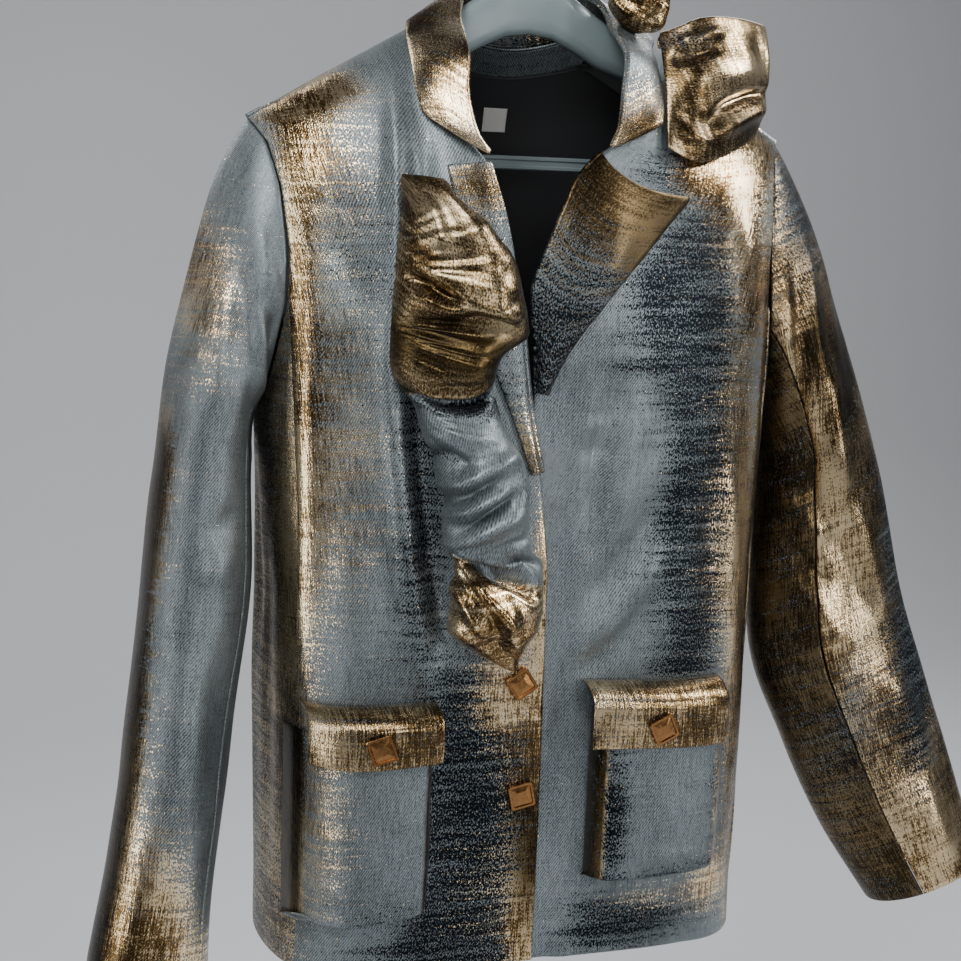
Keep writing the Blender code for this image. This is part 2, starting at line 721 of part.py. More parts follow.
def button(name, centre, out, spin):
    """A square plate with a raised rim and a low dome, standing on the cloth."""
    bm = bmesh.new()
    half = BUTTON / 2
    levels = [
        (half * .94, 0.0), (half, .0008), (half, BUTTON_THICK - .0004), (half - .0004, BUTTON_THICK),
        (half - BUTTON_RIM, BUTTON_THICK), (half - BUTTON_RIM - .0004, BUTTON_THICK - .0009),
        (half * .35, BUTTON_THICK - .0002),
    ]
    out = np.array(out, float) / np.linalg.norm(out)
    right = np.cross(np.array([0, 0, 1.0]), -out)
    right /= np.linalg.norm(right)
    up = np.cross(-out, right) * -1
    a = radians(spin)
    e1 = right * cos(a) + up * sin(a)
    e2 = -right * sin(a) + up * cos(a)
    rings = []
    for size, height in levels:
        cut = size * .12
        ring = []
        for cx, cy in ((1, 1), (-1, 1), (-1, -1), (1, -1)):
            first = (cx * size, cy * (size - cut)) if cx * cy > 0 else (cx * (size - cut), cy * size)
            second = (cx * (size - cut), cy * size) if cx * cy > 0 else (cx * size, cy * (size - cut))
            for px, py in (first, second):
                ring.append(bm.verts.new(lean(centre + e1 * px + e2 * py + out * height)))
        rings.append(ring)
    bm.faces.new(rings[0])
    bm.faces.new(rings[-1])
    for low, high in zip(rings, rings[1:]):
        for j in range(8):
            k = (j + 1) % 8
            bm.faces.new((low[j], low[k], high[k], high[j]))
    finish(name, bm, "brass")


def front_button(name, x, z, spin):
    point = np.array([x, float(front_y(abs(x), z)), z])
    out = body_normal(np.array([point]))[0]
    button(name, point + out * .0005, out, spin)


front_button("button_front_upper", -.0225, -.596, 33)
front_button("button_front_lower", -.0185, -.680, 12)


def flap_button(name, data, u, v, spin):
    point = flap_point(data, u, v)
    across = flap_point(data, u + .05, v) - flap_point(data, u - .05, v)
    down = flap_point(data, u, v + .05) - flap_point(data, u, v - .05)
    out = np.cross(across, down)
    out /= np.linalg.norm(out)
    if out[1] > 0:
        out = -out
    button(name, point + out * .0006, out, spin)


flap_button("button_flap_right", FLAP_RIGHT, .52, .60, 20)
flap_button("button_flap_left", FLAP_LEFT, .52, .66, 25)


# Inside the back: the facing round the neck and the black lining under it, made from the back's own
# points moved in, and the bare label.
def inside(name, first, last, margin, drop, colour):
    grid, normals = BACK_GRID
    side = slice(margin, grid.shape[1] - margin)
    points = grid[first:last, side].copy()
    n = normals[first:last, side]
    points[0, :, 2] -= drop
    wall(name, points - n * (CLOTH + .0004), n, colour, .0010)


inside("neck_facing", 0, 4, 6, .0012, "cloth")
inside("lining_back", 3, len(TURN) + LOWER_ROWS - 1, 2, .0012, "black")


def label():
    grid = []
    for z in (-.1900, -.1990, -.2080):
        grid.append([(x, float(back_y(x, z)), z) for x in (-.0095, 0, .0095)])
    grid = np.array(grid)
    n = body_normal(grid)
    wall("label", grid - n * .0044, n, "label", .0008)


label()


# Hanger arms: x, top and underside height below the garment's shoulder line, half depth.
HANGER = [
    (.000, -.0960, -.1400, .0050),
    (.018, -.0985, -.1425, .0060),
    (.036, -.1130, -.1510, .0080),
    (.054, -.1250, -.1610, .0085),
    (.075, -.1366, -.1680, .0100),
    (.100, -.1506, -.1800, .0130),
    (.130, -.1682, -.1960, .0150),
    (.160, -.1855, -.2110, .0165),
    (.180, -.1972, -.2190, .0130),
    (.190, -.2045, -.2190, .0080),
]


def hanger_body():
    """Both arms as one piece, with an arched underside and a lip along it."""
    stations = [(-x, a, b, d) for x, a, b, d in reversed(HANGER[1:])] + HANGER
    bm = bmesh.new()
    rings = []
    steps = 14
    for x, top, low, deep in stations:
        middle, tall = (top + low) / 2, (top - low) / 2
        ring = []
        for j in range(steps):
            a = 2 * pi * j / steps
            s, c = sin(a), cos(a)
            y = deep * c
            z = middle + tall * s
            if s < -.5:
                y = y * 1.25
            ring.append(bm.verts.new(lean(np.array([x, y, z]))))
        rings.append(ring)
    bm.faces.new(rings[0])
    bm.faces.new(rings[-1])
    for low, high in zip(rings, rings[1:]):
        for j in range(steps):
            k = (j + 1) % steps
            bm.faces.new((low[j], low[k], high[k], high[j]))
    finish("hanger_body", bm, "plastic")


hanger_body()


def sweep(name, path, shape, colour, place=True, up=(0, 1, 0)):
    """A rod along a path with a given section; shape gives (u, v) corners."""
    path = [np.array(p, float) for p in path]
    up = np.array(up, float)
    bm = bmesh.new()
    rings = []
    for i, p in enumerate(path):
        d = path[min(i + 1, len(path) - 1)] - path[max(i - 1, 0)]
        d /= np.linalg.norm(d)
        v = np.cross(d, up)
        v /= np.linalg.norm(v)
        points = [p + up * a + v * b for a, b in shape]
        if place:
            points = [lean(q) for q in points]
        rings.append([bm.verts.new(q) for q in points])
    bm.faces.new(rings[0])
    bm.faces.new(rings[-1])
    n = len(shape)
    for low, high in zip(rings, rings[1:]):
        for j in range(n):
            k = (j + 1) % n
            bm.faces.new((low[j], low[k], high[k], high[j]))
    finish(name, bm, colour)


def bar_shape():
    """Section of the trouser bar: a flat strip with two ribs along its front."""
    return [(.0035, .0050), (-.0025, .0050), (-.0035, .0042), (-.0035, .0024), (-.0025, .0016),
            (-.0025, -.0016), (-.0035, -.0024), (-.0035, -.0042), (-.0025, -.0050), (.0035, -.0050)]


def bar_path():
    side = [(.172, -.2175), (.1715, -.2240), (.168, -.2292), (.161, -.2315), (.150, -.2320), (.080, -.2320)]
    return [(-x, 0, z) for x, z in side] + [(x, 0, z) for x, z in reversed(side)]


sweep("hanger_bar", bar_path(), bar_shape(), "plastic")


def hook_path():
    radius = .028
    centre_z = .002 - radius
    path = []
    for angle in np.linspace(188, -62, 22):
        a = radians(angle)
        path.append((radius * cos(a), 0, centre_z + radius * sin(a)))
    path.append((.0060, 0, -.0600))
    path.append((.0008, 0, -.0690))
    path.append((-.0012, 0, -.0800))
    path.append((-.0012, 0, -.0979))
    return path


ROD = .0021
sweep("hanger_hook", hook_path(), [(ROD * cos(2 * pi * j / 8), ROD * sin(2 * pi * j / 8)) for j in range(8)],
      "steel", place=False)


# Bow on the left shoulder: a wide loop standing up from the shoulder, a back loop and the knot.
WING_FRONT = [
    (.0835, -.047, -.1360, -.2180),
    (.0940, -.056, -.1320, -.2240),
    (.1060, -.060, -.1260, -.2270),
    (.1220, -.058, -.1230, -.2240),
    (.1390, -.052, -.1220, -.2180),
    (.1550, -.044, -.1220, -.2120),
    (.1700, -.034, -.1230, -.2060),
]


def bow_wing():
    """One loop of the bow: front layer, round the outer end and back again."""
    outer = [(.1790, -.024, -.124, -.1950), (.1820, -.012, -.125, -.1880), (.1790, .001, -.125, -.1840)]
    rear = [(.1640, .010, -.124, -.1720), (.1430, .013, -.124, -.1600), (.1240, .012, -.126, -.1490),
            (.1080, .006, -.130, -.1400)]
    stations = WING_FRONT + outer + rear
    grid = []
    for t in np.linspace(0, len(stations) - 1.0001, 20):
        x, y, top, low = smooth(stations, t)
        front = t < len(WING_FRONT) + .5
        surface = float(front_y(x, low)) if front else float(back_y(x, low))
        line = []
        for v in np.linspace(0, 1, 8):
            z = top + (low - top) * v
            bulge = .010 * sin(pi * v) * (1 if front else -.5)
            foot = min(y, surface - .009) if front else y
            slant = .005 * max(0, 1 - t / 3) * v
            line.append((x - slant, y + (foot - y) * v ** 1.6 - bulge, z))
        grid.append(line)
    grid = np.array(grid)
    n = mesh_normal(grid)
    if n[8, 4, 1] > 0:
        n = -n
    wall("bow_wing", grid, n, "gold")


bow_wing()


def puff(name, table, colour):
    """A roll of cloth open at both ends: stations of centre and half sizes along a path."""
    places = [smooth(table, t) for t in np.linspace(0, len(table) - 1.0001, 11)]
    run = np.gradient(np.array(places)[:, :3], axis=0)
    grid = []
    for (x, y, z, wide, tall), way in zip(places, run):
        e1 = np.cross(way, np.array([0, 0, 1.0]))
        e1 /= np.linalg.norm(e1)
        e2 = np.cross(e1, way)
        e2 /= np.linalg.norm(e2)
        line = []
        for j in range(12):
            a = 2 * pi * j / 12
            line.append(np.array([x, y, z]) + e1 * wide * cos(a) + e2 * tall * sin(a))
        grid.append(line)
    grid = np.array(grid)
    n = mesh_normal(grid, closed=True)
    middle = grid[5].mean(axis=0)
    if np.dot(n[5, 0], grid[5, 0] - middle) < 0:
        n = -n
    wall(name, grid, n, colour, closed=True)


puff("bow_knot", [(.0880, -.0455, -.1235, .0095, .0115), (.0785, -.044, -.1213, .0145, .0175),
                  (.0665, -.038, -.1164, .0150, .0180), (.0575, -.030, -.1074, .0110, .0120)], "gold")
puff("bow_back", [(.0563, -.0283, -.1052, .0090, .0100), (.0490, -.008, -.0915, .0110, .0120),
                  (.0370, .020, -.0830, .0140, .0150), (.0150, .039, -.0800, .0170, .0180),
                  (-.0120, .046, -.0800, .0160, .0150)], "gold")
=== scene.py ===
from math import cos, pi, radians, sin

import bmesh
import bpy
import numpy as np
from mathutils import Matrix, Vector
from mathutils.bvhtree import BVHTree


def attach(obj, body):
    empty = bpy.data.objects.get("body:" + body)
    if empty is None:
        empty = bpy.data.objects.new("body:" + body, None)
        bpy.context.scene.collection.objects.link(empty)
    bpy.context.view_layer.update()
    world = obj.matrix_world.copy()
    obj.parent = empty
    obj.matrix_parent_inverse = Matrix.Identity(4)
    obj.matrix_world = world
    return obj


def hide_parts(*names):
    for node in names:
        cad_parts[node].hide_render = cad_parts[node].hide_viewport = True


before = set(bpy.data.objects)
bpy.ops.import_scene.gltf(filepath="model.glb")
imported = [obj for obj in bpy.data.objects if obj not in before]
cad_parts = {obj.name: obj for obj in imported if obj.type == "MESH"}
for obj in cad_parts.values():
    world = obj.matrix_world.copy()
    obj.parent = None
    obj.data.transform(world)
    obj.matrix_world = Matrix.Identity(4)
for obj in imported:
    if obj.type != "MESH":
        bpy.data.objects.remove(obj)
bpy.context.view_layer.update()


# The fronts
# Each front is one cut of twill from the front edge to the side-front line and from the shoulder seam
# to the hem. Its threads are steel grey, gold and black, and they change over in broken weft streaks.

# The garment hangs this far off centre and leans by this angle about this height.
CENTRE = .011
LEAN = radians(2.4)
LEAN_Z = -.15
# The neck point, the shoulder tip and the hem.
NECK_X = .066
TIP_Z = -.2079
HEM_Z = -.812
# How far below the shoulder line the front and the back still round over, and the share of rows there.
FRONT_REACH = .25
BACK_REACH = .16
TURNED = .42
# Half the gap at the shoulder seam, and how far the fronts and the back reach over the side panels.
SEAM = .0002
OVERLAP = .0006

# Body sections: height, half width, depth in front, depth behind, boxiness.
BODY = np.array([
    (-.87, .190, .110, .082, 6.0),
    (-.70, .190, .114, .080, 5.5),
    (-.55, .191, .115, .078, 4.6),
    (-.41, .196, .115, .082, 3.8),
    (-.30, .203, .112, .086, 3.6),
    (-.20, .212, .110, .088, 3.6),
    (-.08, .214, .110, .088, 3.6),
])
# Edges of the fronts and of the back: height and distance outward from the centre line.
RIGHT_EDGE = np.array([
    (-.87, .002), (-.62, .004), (-.507, .0065), (-.446, .0145), (-.392, .0265), (-.345, .0325),
    (-.310, .0395), (-.265, .0465), (-.247, .0515), (-.2325, .0555), (-.222, .064), (-.212, .071),
    (-.188, .078), (-.16, .077), (-.14, .072), (-.128, NECK_X),
])
LEFT_EDGE = np.array([
    (-.87, -.042), (-.50, -.040), (-.43, -.022), (-.385, -.0210), (-.358, -.0225), (-.319, -.0235),
    (-.303, -.0185), (-.268, -.0035), (-.239, .0105), (-.2235, .0265), (-.216, .040), (-.205, .050),
    (-.185, .058), (-.16, .064), (-.14, .067), (-.128, NECK_X),
])
FRONT_SIDE = np.array([
    (-.87, .174), (-.59, .173), (-.467, .175), (-.40, .179), (-.335, .184), (-.30, .183), (-.255, .187),
    (-.225, .194), (TIP_Z, .205),
])
BACK_SIDE = np.array([
    (-.87, .162), (-.59, .157), (-.45, .160), (-.355, .168), (-.33, .172), (-.29, .177), (-.25, .185),
    (-.225, .193), (TIP_Z, .205),
])


def read(table, z, column=1):
    return np.interp(z, table[:, 0], table[:, column])


def shoulder_z(x):
    a = np.abs(x)
    return np.where(a < NECK_X, -.1088 - 4.4 * a * a, -.128 - .575 * (a - NECK_X))


def rise(x, z, reach):
    t = np.clip((shoulder_z(x) - z) / reach, 0, 1)
    return np.sqrt(1 - (1 - t) ** 2)


def section(x, z):
    return np.sqrt(np.clip(1 - (np.abs(x) / read(BODY, z, 1)) ** read(BODY, z, 4), 0, 1))


def front_y(x, z):
    return -read(BODY, z, 2) * rise(x, z, FRONT_REACH) * section(x, z)


def back_y(x, z):
    return read(BODY, z, 3) * rise(x, z, BACK_REACH) * section(x, z)


def hem_z(x):
    return HEM_Z - .10 * np.clip(np.abs(x) - .12, 0, 1)


def row_z(x, v, reach, top=None):
    """Height of a panel's row: v 0 is the shoulder or neckline, 1 the hem."""
    start = shoulder_z(x) if top is None else top(x)
    head = shoulder_z(x) - reach
    turned = head + (start - head) * np.cos(np.clip(v / TURNED, 0, 1) * pi / 2)
    lower = head + (hem_z(x) - head) * np.clip((v - TURNED) / (1 - TURNED), 0, 1)
    return np.where(v < TURNED, turned, lower)


def crossing(edge, v, reach):
    """Where a panel's edge meets each row, by halving the span from beyond the centre to past the side."""
    low = np.full_like(v, -.08)
    high = np.full_like(v, .26)
    for _ in range(40):
        middle = (low + high) / 2
        beyond = middle > read(edge, row_z(middle, v, reach))
        high = np.where(beyond, middle, high)
        low = np.where(beyond, low, middle)
    return (low + high) / 2


def lean(points):
    """Garment points at their hanging place: off centre and leaning a little."""
    p = np.array(points, float)
    x = p[..., 0] + CENTRE
    z = p[..., 2] - LEAN_Z
    p[..., 0] = x * cos(LEAN) + z * sin(LEAN)
    p[..., 2] = -x * sin(LEAN) + z * cos(LEAN) + LEAN_Z
    return p


def spaced(length, step=.004):
    """Places from one edge of a cut to the other, closer where the cloth turns in at its edges."""
    close = np.array([0, .0007, .0015, .0026, .0040])
    middle = np.linspace(.006, length - .006, max(3, round((length - .012) / step)))
    return np.concatenate([close, middle, length - close[::-1]]) / length


def cloth_normals(grid):
    n = np.cross(np.gradient(grid, axis=1), np.gradient(grid, axis=0))
    return n / np.maximum(np.linalg.norm(n, axis=-1, keepdims=True), 1e-9)


def folds(x, z, table):
    """Soft folds laid one by one. Rows: from x, z to x, z, half width, height, sideways bend."""
    lift = np.zeros_like(x)
    for x0, z0, x1, z1, wide, high, bend in table:
        length = np.hypot(x1 - x0, z1 - z0)
        along = ((x - x0) * (x1 - x0) + (z - z0) * (z1 - z0)) / length ** 2
        off = ((z - z0) * (x1 - x0) - (x - x0) * (z1 - z0)) / length
        s = np.clip(along, 0, 1)
        off = off - bend * 4 * s * (1 - s)
        ends = np.clip(s / .35, 0, 1) * np.clip((1 - s) / .35, 0, 1)
        lift += high * ends * ends * (3 - 2 * ends) * np.exp(-(off / wide) ** 2)
    return lift


def patches(x, z, base, table):
    """How much of one thread shows. Rows: centre x, z, half width, half height, strength."""
    share = np.full_like(x, float(base))
    for x0, z0, wide, tall, much in table:
        share += much * np.exp(-(((x - x0) / wide) ** 2 + ((z - z0) / tall) ** 2))
    return share


def drift(points, size, high):
    """The slight unevenness of hung cloth, from a few slow waves."""
    x, y, z = points[..., 0] / size, points[..., 1] / size, points[..., 2] / size
    slow = np.sin(x * 2.3 + z * 1.1 + 1.7 * np.sin(z * 1.9 + y))
    slow = slow + np.sin(z * 2.9 - x * 1.3 + 2 * np.sin(x * 1.7))
    return high * slow / 2


def node(tree, kind, inputs, **settings):
    """One shader node with its settings, and its sockets set or linked."""
    made = tree.nodes.new(kind)
    for key, value in settings.items():
        setattr(made, key, value)
    for key, value in inputs.items():
        if isinstance(value, bpy.types.NodeSocket):
            tree.links.new(value, made.inputs[key])
        else:
            made.inputs[key].default_value = value
    return made


def maths(tree, how, a, b, c=0.0):
    return node(tree, "ShaderNodeMath", {0: a, 1: b, 2: c}, operation=how).outputs[0]


def blend(tree, share, a, b):
    """Mixes two colours, or two numbers, by share."""
    number = isinstance(a, float)
    if number:
        made = node(tree, "ShaderNodeMix", {0: share, 2: a, 3: b}, data_type="FLOAT")
        return made.outputs[0]
    made = node(tree, "ShaderNodeMix", {0: share, 6: a, 7: b}, data_type="RGBA")
    return made.outputs[2]


def new_material(name):
    material = bpy.data.materials.new(name)
    material.use_nodes = True
    tree = material.node_tree
    return material, tree, tree.nodes["Principled BSDF"]


def noise(tree, where, scale, detail, rough, shift=(0, 0, 0)):
    placed = node(tree, "ShaderNodeMapping", {"Vector": where, "Scale": scale, "Location": shift})
    made = node(tree, "ShaderNodeTexNoise", {"Vector": placed.outputs[0], "Scale": 1.0, "Detail": detail,
                                             "Roughness": rough})
    return made.outputs[0]


def on_top(tree, streaks, share, flecks, spread):
    """Where a thread lies on top: its share there, broken up by weft streaks and by single flecks."""
    value = maths(tree, "MULTIPLY_ADD", streaks, 1.6, -.80)
    value = maths(tree, "ADD", value, share)
    value = maths(tree, "ADD", value, maths(tree, "MULTIPLY_ADD", flecks, spread, -spread / 2))
    return node(tree, "ShaderNodeMapRange", {0: value, 1: .42, 2: .58}).outputs[0]


THREADS = ("gold", "ink_and_shade", "bronze")
STEEL = (.255, .297, .312, 1)
STEEL_DARK = (.020, .026, .030, 1)
INK_AND_SHADE = (.004, .006, .009, 1)
BRONZE = ((.014, .009, .004, 1), (.033, .022, .008, 1), (.085, .056, .022, 1))


def metal_twill(name, gold_dark, gold, gold_pale, lines, shine, relief, streaks):
    """Twill woven of three threads: steel grey, gold and black. Each cut carries how much gold and black
    lie on top, where the gold is dull bronze, and, in some cuts, where the black stands for painted shade
    in creases and hollows. lines is how plainly the diagonal shows, shine the roughness of the gold, relief
    the depth of its weave and streaks its upright lines."""
    material, tree, shader = new_material(name)
    weave = node(tree, "ShaderNodeAttribute", {}, attribute_name="weave").outputs["Vector"]
    gold_here, ink_and_shade_here, bronze_here = [
        node(tree, "ShaderNodeAttribute", {}, attribute_name=key).outputs["Fac"] for key in THREADS]
    turned = node(tree, "ShaderNodeMapping", {"Vector": weave, "Rotation": (0, 0, radians(35))})
    twill = node(tree, "ShaderNodeTexWave", {"Vector": turned.outputs[0], "Scale": 185.0, "Distortion": 1.4,
                                             "Detail": 2.0, "Detail Scale": 1.6}, wave_type="BANDS")
    twill = twill.outputs["Fac"]
    # Scales are cells to the metre, across the warp and along it.
    rows = noise(tree, weave, (12, 230, 1), 3.0, .6)
    black_rows = noise(tree, weave, (14, 200, 1), 3.0, .6, (4, 9, 0))
    grain = noise(tree, weave, (980, 560, 1), 2.0, .5)
    fleck = noise(tree, weave, (900, 520, 1), 2.0, .5, (7, 3, 0))
    slow = noise(tree, weave, (16, 10, 1), 3.0, .55)
    warp = noise(tree, weave, (820, 60, 1), 2.0, .5)

    gold_on = on_top(tree, rows, gold_here, grain, 3.6)
    ink_and_shade_on = on_top(tree, black_rows, ink_and_shade_here, fleck, 4.2)

    light = maths(tree, "MULTIPLY_ADD", twill, lines, .34 - .5 * lines)
    light = maths(tree, "ADD", light, maths(tree, "MULTIPLY_ADD", fleck, 1.5, -.62))
    light = maths(tree, "ADD", light, maths(tree, "MULTIPLY_ADD", slow, .9, -.45))
    light = maths(tree, "ADD", light, maths(tree, "MULTIPLY_ADD", warp, .7, -.35))
    ground = blend(tree, light, STEEL_DARK, STEEL)
    tone = maths(tree, "ADD", maths(tree, "MULTIPLY", grain, .9), maths(tree, "MULTIPLY", slow, 1.2))
    tone = maths(tree, "ADD", tone, maths(tree, "MULTIPLY_ADD", warp, streaks, -.5 * streaks - .54))
    tone = maths(tree, "ADD", tone, maths(tree, "MULTIPLY_ADD", rows, .6, -.30))
    bright = node(tree, "ShaderNodeValToRGB", {0: tone})
    dull = node(tree, "ShaderNodeValToRGB", {0: tone})
    for ramp, tones in ((bright, (gold_dark, gold, gold_pale)), (dull, BRONZE)):
        ramp.color_ramp.elements[0].position = .36
        ramp.color_ramp.elements[0].color = tones[0]
        ramp.color_ramp.elements[1].position = .62
        ramp.color_ramp.elements[1].color = tones[2]
        ramp.color_ramp.elements.new(.50).color = tones[1]
    metal = blend(tree, bronze_here, bright.outputs[0], dull.outputs[0])
    # The black share lies on top here; in some cuts it is painted shade in creases and hollows.
    ground = blend(tree, ink_and_shade_on, ground, INK_AND_SHADE)
    tree.links.new(blend(tree, gold_on, ground, metal), shader.inputs["Base Color"])
    covered = maths(tree, "MAXIMUM", gold_on, ink_and_shade_on)
    tree.links.new(blend(tree, covered, .62, .96), shader.inputs["Metallic"])
    rough = blend(tree, gold_on, .44, shine)
    rough = maths(tree, "ADD", rough, maths(tree, "MULTIPLY", bronze_here, .12))
    rough = maths(tree, "ADD", rough, maths(tree, "MULTIPLY_ADD", grain, .20, -.10))
    tree.links.new(rough, shader.inputs["Roughness"])
    shader.inputs["Sheen Weight"].default_value = .02
    shader.inputs["Sheen Roughness"].default_value = .4
    height = maths(tree, "MULTIPLY", twill, blend(tree, gold_on, .45, .08))
    height = maths(tree, "ADD", height, maths(tree, "MULTIPLY", grain, .5))
    height = maths(tree, "ADD", height, maths(tree, "MULTIPLY", warp, .9))
    strength = blend(tree, gold_on, .24, relief)
    bump = node(tree, "ShaderNodeBump", {"Height": height, "Strength": strength, "Distance": .0006})
    tree.links.new(bump.outputs[0], shader.inputs["Normal"])
    return material


TWILL = metal_twill("metal twill", (.085, .050, .018, 1), (.350, .218, .086, 1), (.900, .710, .440, 1),
                    lines=.52, shine=.18, relief=.50, streaks=.9)
# How far from its edges a cut starts to turn in, and the most black that a cut shows.
EDGE_TURN = .0042
INK_MOST = .74


def cloth(name, stands_for, grid, lift=0.0, gold=-.4, ink_and_shade=-.4, bronze=0.0, material=TWILL, thick=.0012,
          roll=.0013):
    """One cut of cloth as a thin sheet on the form of its CAD solid. lift is the height of its folds; gold,
    ink_and_shade and bronze say which thread shows, and in some cuts ink_and_shade also lays painted shade
    into creases and hollows; thick is its wall, and roll how far its edges turn in."""
    form = lean(grid)
    rows, cols = form.shape[:2]
    normals = cloth_normals(form)
    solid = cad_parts[stands_for].data
    tree = BVHTree.FromPolygons([v.co for v in solid.vertices], [p.vertices for p in solid.polygons])
    # The solid's nearest faces tell which side of the cut is its outer one.
    agree = 0.0
    for i in range(4, rows - 4, max(1, rows // 9)):
        for j in range(4, cols - 4, max(1, cols // 7)):
            near = tree.find_nearest(Vector(form[i, j]))
            agree += near[1].dot(Vector(normals[i, j]))
    if agree < 0:
        normals = -normals
    steps_a = np.linalg.norm(np.diff(form, axis=1), axis=-1)
    steps_b = np.linalg.norm(np.diff(form, axis=0), axis=-1)
    a = np.concatenate([np.zeros((rows, 1)), np.cumsum(steps_a, axis=1)], axis=1)
    b = np.concatenate([np.zeros((1, cols)), np.cumsum(steps_b, axis=0)], axis=0)
    away = np.minimum(np.minimum(a, a[:, -1:] - a), np.minimum(b, b[-1:] - b))
    turn = 1 - np.clip(away / EDGE_TURN, 0, 1)
    placed = form + normals * (lift - roll * (1 - np.sqrt(1 - turn ** 2)))[..., None]

    bm = bmesh.new()
    bmesh.ops.create_grid(bm, x_segments=cols - 1, y_segments=rows - 1, size=1)
    order = []
    for v in bm.verts:
        i = round((1 - v.co.y) / 2 * (rows - 1))
        j = round((1 + v.co.x) / 2 * (cols - 1))
        order.append(i * cols + j)
        v.co = placed[i, j]
    bm.normal_update()
    bm.faces.ensure_lookup_table()
    sample = list(bm.faces)[::97]
    facing = sum(f.normal.dot(Vector(normals.reshape(-1, 3)[order[f.verts[0].index]])) for f in sample)
    if facing < 0:
        bmesh.ops.reverse_faces(bm, faces=bm.faces)
    for f in bm.faces:
        f.smooth = True
    mesh = bpy.data.meshes.new(name)
    bm.to_mesh(mesh)
    bm.free()
    order = np.array(order)
    a = (a - a[:, cols // 2:cols // 2 + 1]) * (1 if agree < 0 else -1)
    b = b - b[-1:]
    flat = np.stack([a, -b, a * 0], -1).reshape(-1, 3)[order]
    mesh.attributes.new("weave", "FLOAT_VECTOR", "POINT").data.foreach_set("vector", flat.ravel())
    for key, value in zip(THREADS, (gold, np.minimum(ink_and_shade, INK_MOST), bronze)):
        spread = (np.zeros((rows, cols)) + value).ravel()[order]
        mesh.attributes.new(key, "FLOAT", "POINT").data.foreach_set("value", spread)
    mesh.materials.append(material)
    piece = bpy.data.objects.new(name, mesh)
    bpy.context.collection.objects.link(piece)
    body = piece.modifiers.new("cloth", "SOLIDIFY")
    body.thickness = thick
    body.offset = -1
    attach(piece, "root")
    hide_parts(stands_for)


def front_grid(side, edge):
    v, u = np.meshgrid(spaced(.75), spaced(.185), indexing="ij")
    rows = v[:, 0]
    inner = crossing(edge, rows, FRONT_REACH)[:, None]
    outer = crossing(FRONT_SIDE, rows, FRONT_REACH)[:, None] + OVERLAP
    x = inner + (outer - inner) * u
    z = row_z(x, v, FRONT_REACH)
    y = front_y(x, z)
    y[0] = -SEAM
    return np.stack([side * x, y, z], -1)


# Folds of the right front: the long ridge from the neck past the ruffle and the hollow beside it, then
# the side ridge and the shallow drags of the chest.
FOLDS_RIGHT = [
    (-.112, -.150, -.126, -.400, .0075, .0070, .003),
    (-.124, -.320, -.084, -.640, .0080, .0075, -.006),
    (-.096, -.190, -.112, -.410, .0090, -.0085, .002),
    (-.110, -.350, -.070, -.600, .0100, -.0090, -.004),
    (-.150, -.220, -.158, -.450, .0180, -.0025, .004),
    (-.172, -.310, -.171, -.640, .0080, .0040, .001),
    (-.140, -.460, -.132, -.640, .0140, .0025, -.004),
    (-.110, -.560, -.102, -.640, .0110, -.0020, 0),
    (-.050, -.600, -.045, -.800, .0120, .0022, .003),
    (-.072, -.640, -.068, -.810, .0090, -.0022, 0),
    (-.165, -.270, -.135, -.350, .0090, -.0018, .002),
]
GOLD_RIGHT = [
    (-.177, -.196, .030, .022, 1.30), (-.150, -.186, .026, .013, 1.10), (-.175, -.232, .017, .040, 1.15),
    (-.148, -.245, .028, .040, .550), (-.180, -.480, .016, .170, 1.50), (-.177, -.300, .010, .050, .750),
    (-.150, -.450, .032, .105, .780), (-.150, -.330, .026, .060, .300), (-.188, -.700, .024, .110, 1.00),
    (-.037, -.600, .024, .040, 1.20), (-.018, -.675, .017, .070, .800), (-.010, -.785, .016, .045, 1.30),
    (-.045, -.760, .030, .060, .300), (-.008, -.510, .010, .080, 1.20),
]
# Black thread of the right front, and painted shade in the hollow beside the ruffle.
INK_AND_SHADE_RIGHT = [
    (-.096, -.505, .020, .085, .850), (-.105, -.400, .012, .060, .650), (-.063, -.635, .028, .060, 1.20),
    (-.060, -.725, .036, .080, 1.20),
    (-.020, -.715, .022, .090, .900), (-.055, -.790, .050, .030, 1.00), (-.140, -.290, .034, .050, .450),
    (-.186, -.640, .014, .120, .700), (-.110, -.800, .040, .020, .500),
]
BRONZE_RIGHT = [
    (-.014, -.705, .022, .060, .950), (-.006, -.770, .016, .060, .500), (-.192, -.450, .010, .200, .900),
]
grid = front_grid(-1, RIGHT_EDGE)
x, z = grid[..., 0], grid[..., 2]
edge_strip = np.exp(-((x + .004) / .010) ** 2) * np.clip((-.47 - z) / .02, 0, 1)
cloth("front_right_cut", "front_right", grid,
      folds(x, z, FOLDS_RIGHT) + drift(grid, .09, .0011),
      patches(x, z, -.36, GOLD_RIGHT) + .9 * edge_strip,
      patches(x, z, -.25, INK_AND_SHADE_RIGHT), np.clip(patches(x, z, 0, BRONZE_RIGHT), 0, 1))


def underlap(x, z):
    """The left front steps back under the right one below the break of the lapels."""
    across = np.clip((.022 - x) / .016, 0, 1)
    down = np.clip((-.370 - z) / .018, 0, 1)
    return .0036 * across ** 2 * (3 - 2 * across) * down


